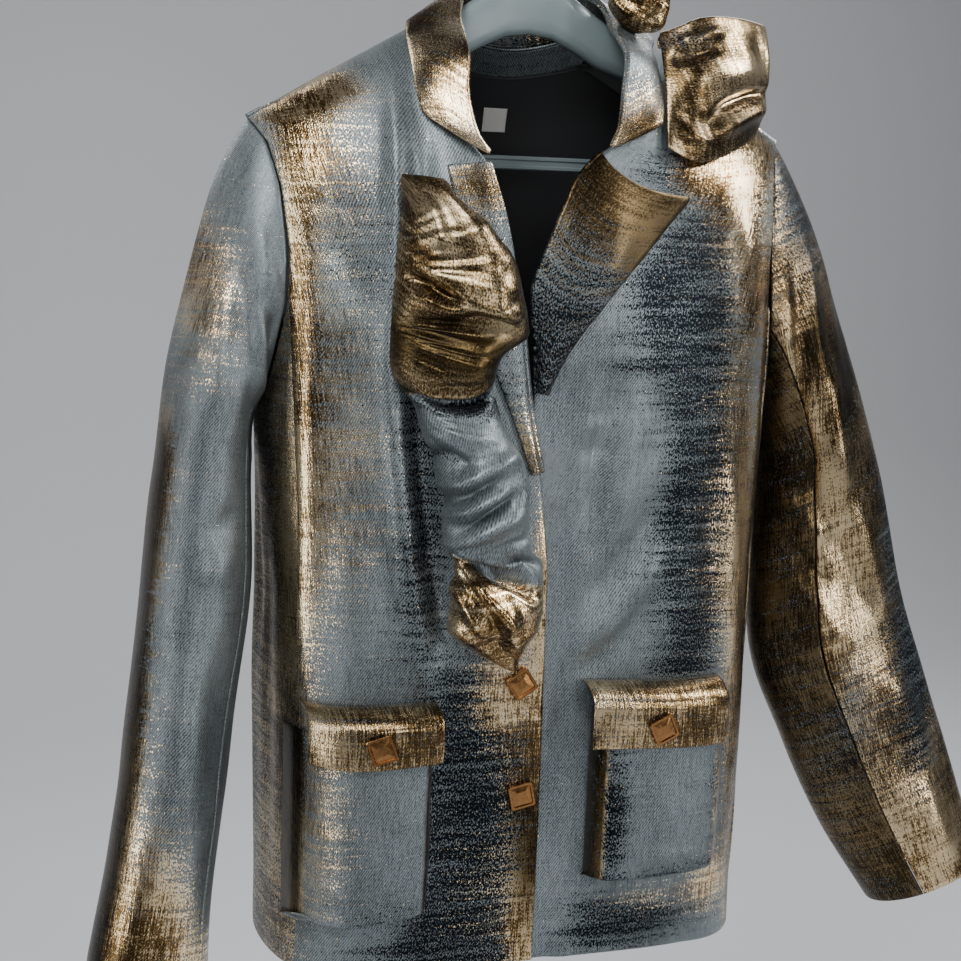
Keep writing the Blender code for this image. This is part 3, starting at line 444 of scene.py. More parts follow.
# Folds of the left front: slanting drags from the break of the lapels towards the pocket, and the soft
# upright ones below it.
FOLDS_LEFT = [
    (.040, -.360, .020, -.520, .0105, -.0050, -.004),
    (.058, -.380, .046, -.500, .0120, .0035, -.003),
    (-.006, -.420, .040, -.412, .0040, .0020, .003),
    (-.004, -.434, .044, -.430, .0045, -.0020, .003),
    (.096, -.440, .004, -.560, .0130, -.0055, .008),
    (.086, -.480, .012, -.590, .0110, .0050, .008),
    (.090, -.520, .000, -.600, .0110, -.0045, .008),
    (.132, -.400, .152, -.620, .0085, .0045, .002),
    (.116, -.430, .126, -.600, .0110, -.0022, .002),
    (.014, -.600, .018, -.810, .0110, -.0035, .002),
    (.000, -.600, .000, -.800, .0080, .0020, 0),
    (.150, -.250, .160, -.380, .0120, .0030, 0),
    (.120, -.240, .128, -.370, .0130, -.0020, 0),
]
GOLD_LEFT = [
    (.178, -.214, .030, .026, 1.10), (.100, -.238, .022, .012, .700),
    (.145, -.238, .036, .052, 1.60), (.109, -.226, .022, .026, .800), (.158, -.315, .020, .040, 1.20),
    (.140, -.392, .024, .060, .620), (.152, -.500, .015, .110, 1.40), (.127, -.510, .022, .080, .620),
    (.160, -.660, .014, .100, 1.10), (.140, -.765, .022, .030, 1.00), (.090, -.768, .050, .012, .600),
]
INK_LEFT = [
    (.082, -.234, .036, .016, 1.00),
    (.100, -.295, .042, .034, 1.20), (.086, -.335, .050, .040, 1.10), (.096, -.505, .030, .085, .950),
    (.112, -.390, .044, .050, .950),
    (.126, -.505, .030, .090, 1.15), (.045, -.370, .030, .008, .450), (.100, -.600, .030, .030, .600),
    (.080, -.790, .060, .022, 1.10), (.040, -.780, .025, .040, .500), (.120, -.255, .030, .030, .500),
]
grid = front_grid(1, LEFT_EDGE)
grid[..., 1] += underlap(grid[..., 0], grid[..., 2])
x, z = grid[..., 0], grid[..., 2]
side_strip = np.clip((x - read(FRONT_SIDE, z) + .013) / .007, 0, 1) * np.clip((-.270 - z) / .06, 0, 1)
cloth("front_left_cut", "front_left", grid,
      folds(x, z, FOLDS_LEFT) * np.clip((x - .004) / .02, 0, 1)
      + drift(grid, .09, .0010) * np.clip(x / .03, 0, 1),
      patches(x, z, -.40, GOLD_LEFT) + 1.5 * side_strip, patches(x, z, -.35, INK_LEFT), .9 * side_strip)


# Side panels
# A narrow cut of the twill under each arm, from the armhole to the hem, between the side-front and
# side-back lines. Its long edges lie a little under the fronts and the back, as a seam does.

TUCK = .0010


def side_point(angle, z, side):
    half = read(BODY, z, 1)
    x = half * np.sin(angle) ** (2 / read(BODY, z, 4))
    lift = np.where(angle < pi / 2, rise(x, z, FRONT_REACH), rise(x, z, BACK_REACH))
    depth = np.where(angle < pi / 2, read(BODY, z, 2), read(BODY, z, 3))
    return np.stack([side * x, -depth * lift * np.cos(angle), z + x * 0], -1)


def side_angles(z):
    half, power = read(BODY, z, 1), read(BODY, z, 4)
    first = np.arcsin(((read(FRONT_SIDE, z) - TUCK) / half) ** (power / 2))
    last = pi - np.arcsin(((read(BACK_SIDE, z) - TUCK) / half) ** (power / 2))
    return first, last


def underarm_z(u):
    away = np.abs(u - .5) * 2
    return -.421 + np.where(u < .5, .090, .070) * away ** 2


FOLDS_SIDE = [
    (.020, -.44, .016, -.80, .0110, .0040, .002),
    (-.020, -.46, -.026, -.80, .0100, -.0030, -.002),
    (-.002, -.43, .000, -.62, .0080, -.0025, .002),
]
for side, word in ((-1, "right"), (1, "left")):
    v, u = np.meshgrid(spaced(.41), spaced(.125), indexing="ij")
    z = underarm_z(u) + (HEM_Z - .006 - underarm_z(u)) * v
    first, last = side_angles(z)
    grid = side_point(first + (last - first) * u, z, side)
    y = grid[..., 1]
    cloth("side_" + word + "_cut", "side_" + word, grid, folds(y, z, FOLDS_SIDE) + drift(grid, .08, .0010),
          patches(y, z, .45, [(-.05, -.55, .03, .15, .6), (.03, -.70, .03, .10, -.3)]), .35, .5, roll=.0004)


# Back
# One wide cut from the neckline and shoulders to the hem, with long shallow folds from the shoulder
# blades, and the same threads as the fronts.

# How far behind the shoulder line the neck is cut out, and the depth of the back there.
NECK_CUT = .056
NECK_BACK = .0875


def neckline_z(x):
    s = np.clip(np.abs(x) / NECK_X, 0, 1)
    y = NECK_CUT * np.sqrt(1 - s * s)
    t = 1 - np.sqrt(1 - (y / NECK_BACK) ** 2)
    return shoulder_z(x) - BACK_REACH * t


def back_grid(rows, columns):
    v, u = np.meshgrid(rows, columns, indexing="ij")
    outer = crossing(BACK_SIDE, v[:, 0], BACK_REACH)[:, None] + OVERLAP
    x = outer * (2 * u - 1)
    z = row_z(x, v, BACK_REACH, neckline_z)
    y = back_y(x, z)
    y[0] = np.where(np.abs(x[0]) > NECK_X - .001, SEAM, y[0])
    return np.stack([x, y, z], -1)


FOLDS_BACK = [
    (-.090, -.260, -.070, -.640, .0200, .0050, .006),
    (.080, -.250, .062, -.600, .0180, .0045, -.006),
    (-.052, -.300, -.044, -.800, .0160, -.0040, .004),
    (.040, -.340, .046, -.800, .0170, -.0040, -.004),
    (-.130, -.330, -.112, -.800, .0150, .0035, .004),
    (.128, -.320, .116, -.800, .0150, .0035, -.004),
    (.006, -.220, .000, -.560, .0200, .0025, .002),
    (-.150, -.280, -.060, -.250, .0110, -.0020, -.006),
    (.150, -.285, .070, -.250, .0110, -.0020, .006),
    (-.010, -.560, -.018, -.810, .0150, .0030, 0),
    (.086, -.560, .092, -.810, .0120, -.0028, 0),
]
GOLD_BACK = [
    (-.140, -.190, .060, .040, 1.30), (.140, -.195, .055, .050, 1.30), (.120, -.420, .035, .110, 1.00),
    (-.130, -.520, .032, .120, 1.10), (-.020, -.700, .040, .080, .800), (.090, -.740, .040, .060, .900),
    (.010, -.260, .030, .060, .600),
]
INK_BACK = [
    (.060, -.360, .050, .080, 1.00), (-.070, -.460, .045, .070, 1.00), (.040, -.600, .050, .060, .950),
    (-.080, -.680, .050, .050, 1.00), (-.050, -.220, .050, .030, .700),
]
grid = back_grid(spaced(.72), spaced(.42))
x, z = grid[..., 0], grid[..., 2]
cloth("back_cut", "back", grid, folds(x, z, FOLDS_BACK) + drift(grid, .10, .0012),
      patches(x, z, -.38, GOLD_BACK), patches(x, z, -.38, INK_BACK))


# Inside of the neck
# A narrow facing of the same twill under the collar, the plain black lining below it, and a small
# white woven label sewn in the middle. The label is bare.

def plain_weave(name, light, dark, rough, sheen):
    material, tree, shader = new_material(name)
    weave = node(tree, "ShaderNodeAttribute", {}, attribute_name="weave").outputs["Vector"]
    fine = noise(tree, weave, (900, 900, 1), 2.0, .5)
    slow = noise(tree, weave, (20, 12, 1), 2.0, .5)
    share = maths(tree, "ADD", maths(tree, "MULTIPLY", fine, .7), maths(tree, "MULTIPLY", slow, .3))
    tree.links.new(blend(tree, share, dark, light), shader.inputs["Base Color"])
    shader.inputs["Roughness"].default_value = rough
    shader.inputs["Sheen Weight"].default_value = sheen
    bump = node(tree, "ShaderNodeBump", {"Height": fine, "Strength": .25, "Distance": .0003})
    tree.links.new(bump.outputs[0], shader.inputs["Normal"])
    return material


LINING = plain_weave("black lining", (.016, .017, .020, 1), (.006, .006, .008, 1), rough=.62, sheen=.12)
LABEL = plain_weave("label", (.86, .85, .82, 1), (.62, .61, .58, 1), rough=.8, sheen=.05)


def inside(name, stands_for, rows, half, drop, depth, material, ink_and_shade=-.4):
    """A sheet on the inner side of the back, from the back's own form and folds, moved in by depth. half is
    its share of the back's width, and drop lowers its top edge."""
    grid = back_grid(rows, np.linspace(.5 - half / 2, .5 + half / 2, 80))
    n = cloth_normals(grid)
    if n[10, 40, 1] < 0:
        n = -n
    grid = grid + n * (folds(grid[..., 0], grid[..., 2], FOLDS_BACK) - depth)[..., None]
    grid[..., 2] -= drop * np.exp(-((grid[..., 2] - grid[0, :, 2]) / .004) ** 2)
    cloth(name, stands_for, grid, drift(grid, .05, .0004), ink_and_shade=ink_and_shade, material=material, thick=.0007,
          roll=.0004)


inside("neck_facing_cut", "neck_facing", np.linspace(0, .152, 25), half=.26, drop=.0012, depth=.0026,
       material=TWILL, ink_and_shade=0.0)
inside("lining_cut", "lining_back", np.linspace(.154, .955, 118), half=.74, drop=0.0, depth=.0026,
       material=LINING)

LABEL_WIDE = .019
LABEL_TALL = .018
LABEL_TOP = -.1900
v, u = np.meshgrid(np.linspace(0, 1, 16), np.linspace(0, 1, 16), indexing="ij")
x = LABEL_WIDE * (u - .5)
z = LABEL_TOP - LABEL_TALL * v
grid = np.stack([x, back_y(x, z) - .0046, z], -1)
cloth("label_cut", "label", grid, material=LABEL, thick=.0006, roll=.0003)


# Sleeves
# Two cuts each: a top sleeve and an under sleeve, joined by a front seam and a back seam, open at the
# cuff. They hang a little bent, with the drags of the armhole above and long folds at the elbow.

# Sleeve stations: outward, y, z, half width, half depth, and the tilt of the section in degrees.
SLEEVE_RIGHT = np.array([
    (.2340, -.004, -.450, .0350, .0600, 6), (.2385, -.010, -.530, .0385, .0610, 6),
    (.2465, -.020, -.600, .0390, .0590, 7), (.2565, -.034, -.670, .0380, .0560, 8),
    (.2670, -.047, -.740, .0390, .0520, 8), (.2770, -.057, -.812, .0430, .0470, 6),
])
SLEEVE_LEFT = np.array([
    (.2525, -.002, -.450, .0510, .0520, 12), (.2650, -.008, -.530, .0620, .0450, 16),
    (.2770, -.015, -.600, .0690, .0390, 18), (.3020, -.025, -.665, .0670, .0370, 20),
    (.3320, -.035, -.735, .0610, .0360, 21), (.3680, -.045, -.806, .0530, .0360, 20),
])
# How far the arm swings forward, and how strongly the head of a sleeve keeps its direction at each end.
SLEEVE_PITCH = radians(8)
HEAD_PULL = .72


def along(table, t):
    """A table of stations read at t with soft bends between its rows."""
    table = np.array(table, float)
    i = np.clip(t.astype(int), 0, len(table) - 2)
    f = (t - i)[..., None]
    p0 = table[np.clip(i - 1, 0, None)]
    p1 = table[i]
    p2 = table[i + 1]
    p3 = table[np.clip(i + 2, None, len(table) - 1)]
    return .5 * (2 * p1 + (p2 - p0) * f + (2 * p0 - 5 * p1 + 4 * p2 - p3) * f * f
                 + (3 * p1 - p0 - 3 * p2 + p3) * f ** 3)


def armhole(side):
    """The armhole as (turn, point): 0 at the shoulder tip, 90 in front, 180 underneath."""
    z = np.linspace(TIP_Z, -.335, 9)
    x = read(FRONT_SIDE, z)
    front = np.stack([side * x, np.where(z < TIP_Z, front_y(x, z), 0), z], -1)
    u = np.linspace(0, 1, 11)
    z = underarm_z(u)
    first, last = side_angles(z)
    under = side_point(first + (last - first) * u, z, side)
    z = np.linspace(-.355, TIP_Z, 9)
    x = read(BACK_SIDE, z)
    back = np.stack([side * x, np.where(z < TIP_Z, back_y(x, z), 0), z], -1)
    turn, place = [], []
    before = np.concatenate([front, under[1:6]])
    behind = np.concatenate([under[5:-1], back])
    for part, start in ((before, 0), (behind, 180)):
        length = np.concatenate([[0], np.cumsum(np.linalg.norm(np.diff(part, axis=0), axis=1))])
        turn.append(start + 180 * length / length[-1])
        place.append(part)
    return np.concatenate(turn), np.concatenate(place)


def sleeve_grid(side, stations, around, t):
    """Points of a sleeve: t from -1 to 0 is its head, 0 to 5 the tube, around in degrees."""
    t, around = np.meshgrid(t, around, indexing="ij")
    s = along(stations, np.clip(t, 0, 4.9999))
    out, y, z, wide, deep, tilt = [s[..., i] for i in range(6)]
    a, angle = np.radians(tilt), np.radians(around)
    zero = a * 0
    e1 = np.stack([side * np.cos(a), zero, np.sin(a)], -1)
    e2 = np.stack([zero, zero + cos(SLEEVE_PITCH), zero - sin(SLEEVE_PITCH)], -1)
    axis = np.stack([side * np.sin(a), zero - sin(SLEEVE_PITCH), -np.cos(a)], -1)
    ring = np.stack([side * out, y, z], -1) + e1 * (wide * np.cos(angle))[..., None]
    ring -= e2 * (deep * np.sin(angle))[..., None]
    turn, place = armhole(side)
    order = np.argsort(turn)
    start = np.stack([np.interp(around % 360, turn[order], place[order, i]) for i in range(3)], -1)
    start = start + np.array([side * .0007, 0, 0])
    lead = np.stack([side * (.64 - .02 * np.cos(angle)), -.30 * np.sin(angle), zero - .76], -1)
    span = np.linalg.norm(ring - start, axis=-1, keepdims=True)
    f = np.clip(1 + t, 0, 1)[..., None]
    head = (start * (2 * f ** 3 - 3 * f * f + 1) + lead * span * HEAD_PULL * (f ** 3 - 2 * f * f + f)
            + ring * (3 * f * f - 2 * f ** 3) + axis * span * HEAD_PULL * (f ** 3 - f * f))
    return np.where(t[..., None] < 0, head, ring)


# Folds on the front of the sleeves, by place; the same ones, mirrored in depth, lie behind.
FOLDS_SLEEVE_RIGHT = [
    (-.190, -.330, -.194, -.400, .0075, -.0110, .002),
    (-.201, -.330, -.197, -.420, .0055, .0060, -.002),
    (-.208, -.380, -.198, -.450, .0080, -.0045, .002),
    (-.194, -.270, -.176, -.335, .0050, -.0042, -.003),
    (-.202, -.275, -.184, -.345, .0060, .0035, -.003),
    (-.186, -.245, -.176, -.280, .0040, -.0025, 0),
    (-.214, -.290, -.214, -.400, .0085, -.0040, .002),
    (-.206, -.290, -.204, -.370, .0070, .0030, 0),
    (-.228, -.300, -.232, -.420, .0080, .0030, .002),
    (-.214, -.470, -.240, -.500, .0090, -.0030, .002),
    (-.218, -.500, -.246, -.530, .0100, .0028, .002),
    (-.230, -.560, -.236, -.700, .0120, -.0030, .003),
    (-.252, -.540, -.262, -.720, .0110, .0025, .002),
    (-.262, -.700, -.280, -.810, .0110, -.0022, 0),
]
FOLDS_SLEEVE_LEFT = [
    (.205, -.250, .232, -.430, .0075, .0050, .003),
    (.198, -.270, .220, -.450, .0070, -.0048, .003),
    (.228, -.340, .262, -.500, .0090, .0055, .002),
    (.220, -.400, .240, -.510, .0065, -.0040, .002),
    (.244, -.480, .292, -.590, .0120, -.0042, .003),
    (.262, -.470, .322, -.620, .0100, .0042, .004),
    (.210, -.470, .250, -.520, .0080, .0030, -.002),
    (.216, -.500, .262, -.560, .0080, -.0032, -.003),
    (.230, -.540, .280, -.610, .0090, .0026, -.003),
    (.300, -.600, .360, -.730, .0130, .0040, .003),
    (.320, -.600, .385, -.740, .0090, -.0025, .003),
    (.340, -.700, .378, -.790, .0110, .0030, 0),
    (.250, -.290, .274, -.420, .0090, -.0022, 0),
]
GOLD_SLEEVE_RIGHT = [
    (-.235, -.330, .022, .060, .850), (-.250, -.300, .020, .060, .550), (-.268, -.450, .016, .080, .450),
    (-.270, -.760, .026, .060, 1.15), (-.300, -.800, .026, .060, 1.20), (-.290, -.660, .022, .070, .550),
    (-.235, -.800, .030, .030, .700),
]
GOLD_SLEEVE_LEFT = [
    (.235, -.360, .050, .090, .450), (.290, -.520, .030, .120, .350), (.240, -.560, .040, .120, .450),
    (.360, -.760, .050, .060, .700), (.205, -.250, .020, .050, -.550), (.228, -.300, .018, .045, -.500),
    (.314, -.480, .014, .100, -.950),
    (.343, -.610, .018, .100, -1.10), (.280, -.640, .014, .050, -.400),
]
INK_SLEEVE_LEFT = [
    (.208, -.250, .022, .060, .900), (.228, -.300, .020, .050, .800), (.205, -.400, .012, .080, .800),
    (.314, -.480, .016, .110, 1.10),
    (.343, -.610, .020, .110, 1.10), (.290, -.740, .030, .050, .700), (.240, -.480, .010, .060, .700),
]
BRONZE_SLEEVE_LEFT = [
    (.262, -.380, .024, .110, .750), (.302, -.530, .020, .100, .500), (.224, -.352, .010, .032, .900),
    (.214, -.262, .018, .045, .900),
    (.332, -.620, .014, .080, .600), (.290, -.700, .030, .060, .250),
]


def sleeve(name, side, stations, first, last, wide, fold_table, gold, ink_and_shade, bronze=(0.0, []),
           brown_edge=0.0):
    """One cut of a sleeve, from first to last in degrees round the arm, about wide across. gold,
    ink_and_shade and bronze are each a base and its patches, and brown_edge browns the outer edge of the
    lower sleeve."""
    t = np.concatenate([spaced(.26, .006) - 1, np.linspace(.02, 4.94, 96), [4.96, 4.975, 4.99, 5.0]])
    around = first + .2 + (last - first - .4) * spaced(wide)
    grid = sleeve_grid(side, stations, around, t)
    x, z = grid[..., 0], grid[..., 2]
    facing = np.clip(np.abs(cloth_normals(grid)[..., 1]) * 3, 0, 1)
    sewn = np.clip((t + 1) / .30, 0, 1)[:, None]
    reach = np.interp(z, stations[::-1, 2], stations[::-1, 0] + stations[::-1, 3])
    brown = brown_edge * np.clip((np.abs(x) - reach + .013) / .009, 0, 1) * np.clip((-.380 - z) / .05, 0, 1)
    cloth(name + "_cut", name, grid, (folds(x, z, fold_table) * facing + drift(grid, .07, .0012)) * sewn,
          patches(x, z, *gold) + 1.2 * brown, patches(x, z, *ink_and_shade),
          np.clip(patches(x, z, *bronze) + brown, 0, 1))


sleeve("sleeve_right_top", -1, SLEEVE_RIGHT, -115, 140, .20, FOLDS_SLEEVE_RIGHT, (-.36, GOLD_SLEEVE_RIGHT),
       (-.22, []), brown_edge=1.0)
sleeve("sleeve_right_under", -1, SLEEVE_RIGHT, 140, 245, .10, FOLDS_SLEEVE_RIGHT, (-.36, GOLD_SLEEVE_RIGHT),
       (-.15, []))
sleeve("sleeve_left_top", 1, SLEEVE_LEFT, -115, 112, .20, FOLDS_SLEEVE_LEFT, (.62, GOLD_SLEEVE_LEFT),
       (.35, INK_SLEEVE_LEFT), (.30, BRONZE_SLEEVE_LEFT))
sleeve("sleeve_left_under", 1, SLEEVE_LEFT, 112, 245, .12, FOLDS_SLEEVE_LEFT, (.55, GOLD_SLEEVE_LEFT),
       (.50, INK_SLEEVE_LEFT), (.95, []))


# Collar and lapels
# The collar is one folded cut round the neck: a stand against the neckline, a roll and a fall. Each
# lapel is a facing cut that wraps the front edge and lies back on the front.

# Neck seam height, roll line x, z and stand-off, outer edge x, z and stand-off.
COLLAR_FRONT_RIGHT = [
    (-.2240, .0550, -.2255, .0095, .0935, -.2060, .0066),
    (-.2120, .0630, -.2130, .0105, .0985, -.1990, .0068),
    (-.1880, .0670, -.1870, .0125, .1005, -.1840, .0070),
    (-.1600, .0640, -.1600, .0150, .1005, -.1640, .0075),
    (-.1410, .0585, -.1340, -.0040, .0985, -.1500, .0080),
]
COLLAR_FRONT_LEFT = [
    (-.2170, .0300, -.2180, .0095, .0770, -.2020, .0066),
    (-.2050, .0370, -.2050, .0105, .0800, -.1900, .0068),
    (-.1820, .0430, -.1790, .0125, .0810, -.1740, .0070),
    (-.1580, .0490, -.1540, .0150, .0820, -.1590, .0080),
    (-.1410, .0515, -.1340, -.0040, .0860, -.1460, .0085),
]
# Turn of the neck seam in degrees, roll x, y, z, outer edge x, z.
COLLAR_BACK = [
    (0, .0530, -.010, -.1180, .0950, -.1370), (18, .0490, .012, -.1080, .0850, -.1400),
    (45, .0380, .034, -.1030, .0640, -.1480), (70, .0180, .044, -.1010, .0330, -.1530),
    (90, .0000, .047, -.1005, .0000, -.1560),
]


def surface(control, rows, cols):
    """A coarse grid of given points read finely in both directions, with soft bends."""
    tall, wide = control.shape[:2]
    across = along(control.swapaxes(0, 1).reshape(wide, -1), np.asarray(cols) * (wide - 1.0001))
    across = across.reshape(len(cols), tall, 3).swapaxes(0, 1)
    down = along(across.reshape(tall, -1), np.asarray(rows) * (tall - 1.0001))
    return down.reshape(len(rows), len(cols), 3)


def collar_section(base, roll, edge, run):
    """Nine points from the neck seam up the stand, over the roll and down the fall to the edge."""
    way = (base + edge) / 2 - roll
    way -= run * np.dot(way, run)
    way /= np.linalg.norm(way)
    out = np.cross(run, way)
    out /= np.linalg.norm(out)
    if np.dot(edge - base, out) < 0:
        out = -out
    inner = roll + way * .0028 - out * .0030
    outer = roll + way * .0028 + out * .0030
    top1 = roll + way * .0005 - out * .0017
    top2 = roll + way * .0005 + out * .0017
    fall1 = outer * .62 + edge * .38 + out * .0020
    fall2 = outer * .28 + edge * .72 + out * .0014
    return [base, base * .5 + inner * .5, inner, top1, top2, outer, fall1, fall2, edge]


def collar_grid():
    def front(table, side, edge):
        lines = []
        for seam_z, rx, rz, ro, ex, ez, eo in table:
            sx = read(edge, seam_z)
            base = np.array([side * (sx - .0018), front_y(sx, seam_z) - .0002, seam_z])
            lines.append((base, np.array([side * rx, front_y(rx, rz) - ro, rz]),
                          np.array([side * ex, front_y(ex, ez) - eo, ez])))
        return lines

    def over(side):
        lines = []
        for turn, rx, ry, rz, ex, ez in COLLAR_BACK:
            bx = NECK_X * cos(radians(turn))
            base = np.array([bx, NECK_CUT * sin(radians(turn)), float(neckline_z(bx)) + .0006])
            edge_y = float(back_y(ex, ez)) + .0095 if turn > 0 else -.008
            if turn == 0:
                base = base + np.array([-.0026, -.0005, .0008])
            s = np.array([side, 1, 1])
            lines.append((base * s, np.array([rx, ry, rz]) * s, np.array([ex, edge_y, ez]) * s))
        return lines

    lines = front(COLLAR_FRONT_RIGHT, -1, RIGHT_EDGE) + over(-1) + over(1)[::-1][1:]
    lines = np.array(lines + front(COLLAR_FRONT_LEFT, 1, LEFT_EDGE)[::-1], float).reshape(-1, 9)
    fine = along(lines, np.linspace(0, len(lines) - 1.0001, 2 * len(lines) - 1)).reshape(-1, 3, 3)
    run = np.gradient(fine[:, 1], axis=0)
    run /= np.linalg.norm(run, axis=1, keepdims=True)
    return np.array([collar_section(b, r, e, d) for (b, r, e), d in zip(fine, run)])


FINE_CLOTH = metal_twill("gathered cloth", (.075, .044, .016, 1), (.305, .195, .080, 1),
                         (.880, .715, .470, 1), lines=.40, shine=.22, relief=.32, streaks=.3)

control = collar_grid()
grid = surface(control, spaced(.55), np.linspace(0, 1, 64))
x, z = grid[..., 0], grid[..., 2]
right_side = np.clip((-.02 - x) / .04, 0, 1)
cloth("collar_cut", "collar", grid,
      folds(x, z, [(-.090, -.150, -.092, -.205, .008, .0012, 0),
                   (.070, -.150, .066, -.205, .009, .0016, 0)]),
      right_side + patches(x, z, -.1, [(.062, -.214, .036, .028, 1.4), (.035, -.13, .02, .02, .5)]),
      patches(x, z, .0, [(-.085, -.14, .02, .02, .9), (.03, -.13, .02, .02, .8)]),
      patches(x, z, .0, [(-.085, -.135, .02, .025, .5)]), FINE_CLOTH, thick=.0021, roll=.0011)

# Lapels: height and distance of the roll edge, then of the outer edge, from the break upward.
LAPEL_RIGHT = [
    (-.4440, .0150, -.4460, .0235), (-.4200, .0205, -.4215, .0320), (-.3950, .0260, -.3945, .0430),
    (-.3680, .0296, -.3665, .0550), (-.3450, .0325, -.3420, .0620), (-.3100, .0395, -.3060, .0700),
    (-.2750, .0450, -.2720, .0770), (-.2480, .0515, -.2500, .0815), (-.2325, .0555, -.2360, .0835),
]
LAPEL_LEFT = [
    (-.3880, -.0215, -.3900, -.0120), (-.3740, -.0225, -.3740, -.0050), (-.3580, -.0230, -.3540, .0070),
    (-.3400, -.0235, -.3330, .0230), (-.3190, -.0235, -.3120, .0400), (-.3030, -.0185, -.2900, .0600),
    (-.2680, -.0035, -.2690, .0800), (-.2390, .0105, -.2560, .0940), (-.2235, .0265, -.2510, .0950),
]


def lapel_grid(side, table, top_sag, lift, wrap):
    """A lapel from its roll edge outward. wrap says at which heights it turns round the front edge."""
    control = []
    for t in np.linspace(0, len(table) - 1.0001, 15):
        rz, rx, oz, ox = along(table, np.array(t))
        near_top = max(0, t / (len(table) - 1) * 3 - 2)
        start = np.array([rx, float(front_y(rx, rz)) + .0010, rz])
        line = []
        for angle in np.linspace(52 if wrap(rz) else -15, 90, 5):
            a = radians(angle)
            line.append(start + .0036 * np.array([-cos(a), -sin(a), 0]))
        for u in (.07, .16, .28, .42, .56, .70, .85, 1.0):
            x = rx + (ox - rx) * u
            z = rz + (oz - rz) * u - top_sag * near_top * sin(pi * u ** .7)
            y = float(front_y(x, z)) - .0026 - lift * sin(pi * u ** .75) - .0008 * u
            line.append(np.array([x, y, z]))
        control.append([(side * p[0], p[1], p[2]) for p in line])
    return surface(np.array(control), spaced(.24), np.linspace(0, 1, 46))


grid = lapel_grid(-1, LAPEL_RIGHT, top_sag=0, lift=.0022, wrap=lambda z: False)
x, z = grid[..., 0], grid[..., 2]
cloth("lapel_right_cut", "lapel_right", grid, drift(grid, .05, .0006),
      patches(x, z, -.2, [(-.030, -.430, .02, .03, 1.0), (-.06, -.25, .03, .02, 1.1)]), .1,
      material=FINE_CLOTH, thick=.0018, roll=.0009)
# The left lapel shows much black and dull bronze. This is partly its own darker cloth and partly painted
# shade of its face turned from the light. The black patch at its lower end is painted shade.
grid = lapel_grid(1, LAPEL_LEFT, top_sag=.010, lift=.0045, wrap=lambda z: z < -.345 or z > -.232)
x, z = grid[..., 0], grid[..., 2]
cloth("lapel_left_cut", "lapel_left", grid,
      folds(x, z, [(.010, -.340, .050, -.270, .010, .0018, .002),
                   (-.010, -.300, .040, -.262, .008, -.0012, 0)]) + drift(grid, .05, .0007),
      patches(x, z, -.05, [(.050, -.245, .075, .048, 1.5), (.055, -.305, .022, .030, .6)]),
      patches(x, z, .50, [(-.005, -.365, .03, .03, .8)]), .95, FINE_CLOTH, thick=.0018, roll=.0009)


# Ruffle
# A long strip of the same cloth, gathered into puffs and folds and caught down along the right lapel and
# front edge. Its pleats run out from the pinched places at its outer side.

# Rows: height, distance of its outer and inner side, and how far it stands up.
RUFFLE = [
    (-.2440, .1160, .0880, .0060), (-.2540, .1150, .0780, .0170), (-.2700, .1150, .0600, .0270),
    (-.2900, .1180, .0440, .0330), (-.3120, .1210, .0380, .0350), (-.3330, .1230, .0330, .0310),
    (-.3450, .1240, .0330, .0210), (-.3560, .1240, .0500, .0270), (-.3720, .1240, .0555, .0260),
    (-.3830, .1210, .0540, .0200), (-.3900, .1140, .0500, .0120), (-.4020, .1070, .0460, .0210),
    (-.4200, .1020, .0370, .0300), (-.4420, .0940, .0280, .0330), (-.4620, .0870, .0250, .0330),
    (-.4800, .0860, .0230, .0310), (-.4930, .0850, .0190, .0250), (-.5030, .0790, .0120, .0130),
    (-.5120, .0760, .0110, .0200), (-.5300, .0760, .0110, .0300), (-.5480, .0780, .0140, .0290),
    (-.5600, .0790, .0200, .0240), (-.5720, .0620, .0250, .0160), (-.5840, .0390, .0270, .0080),
]
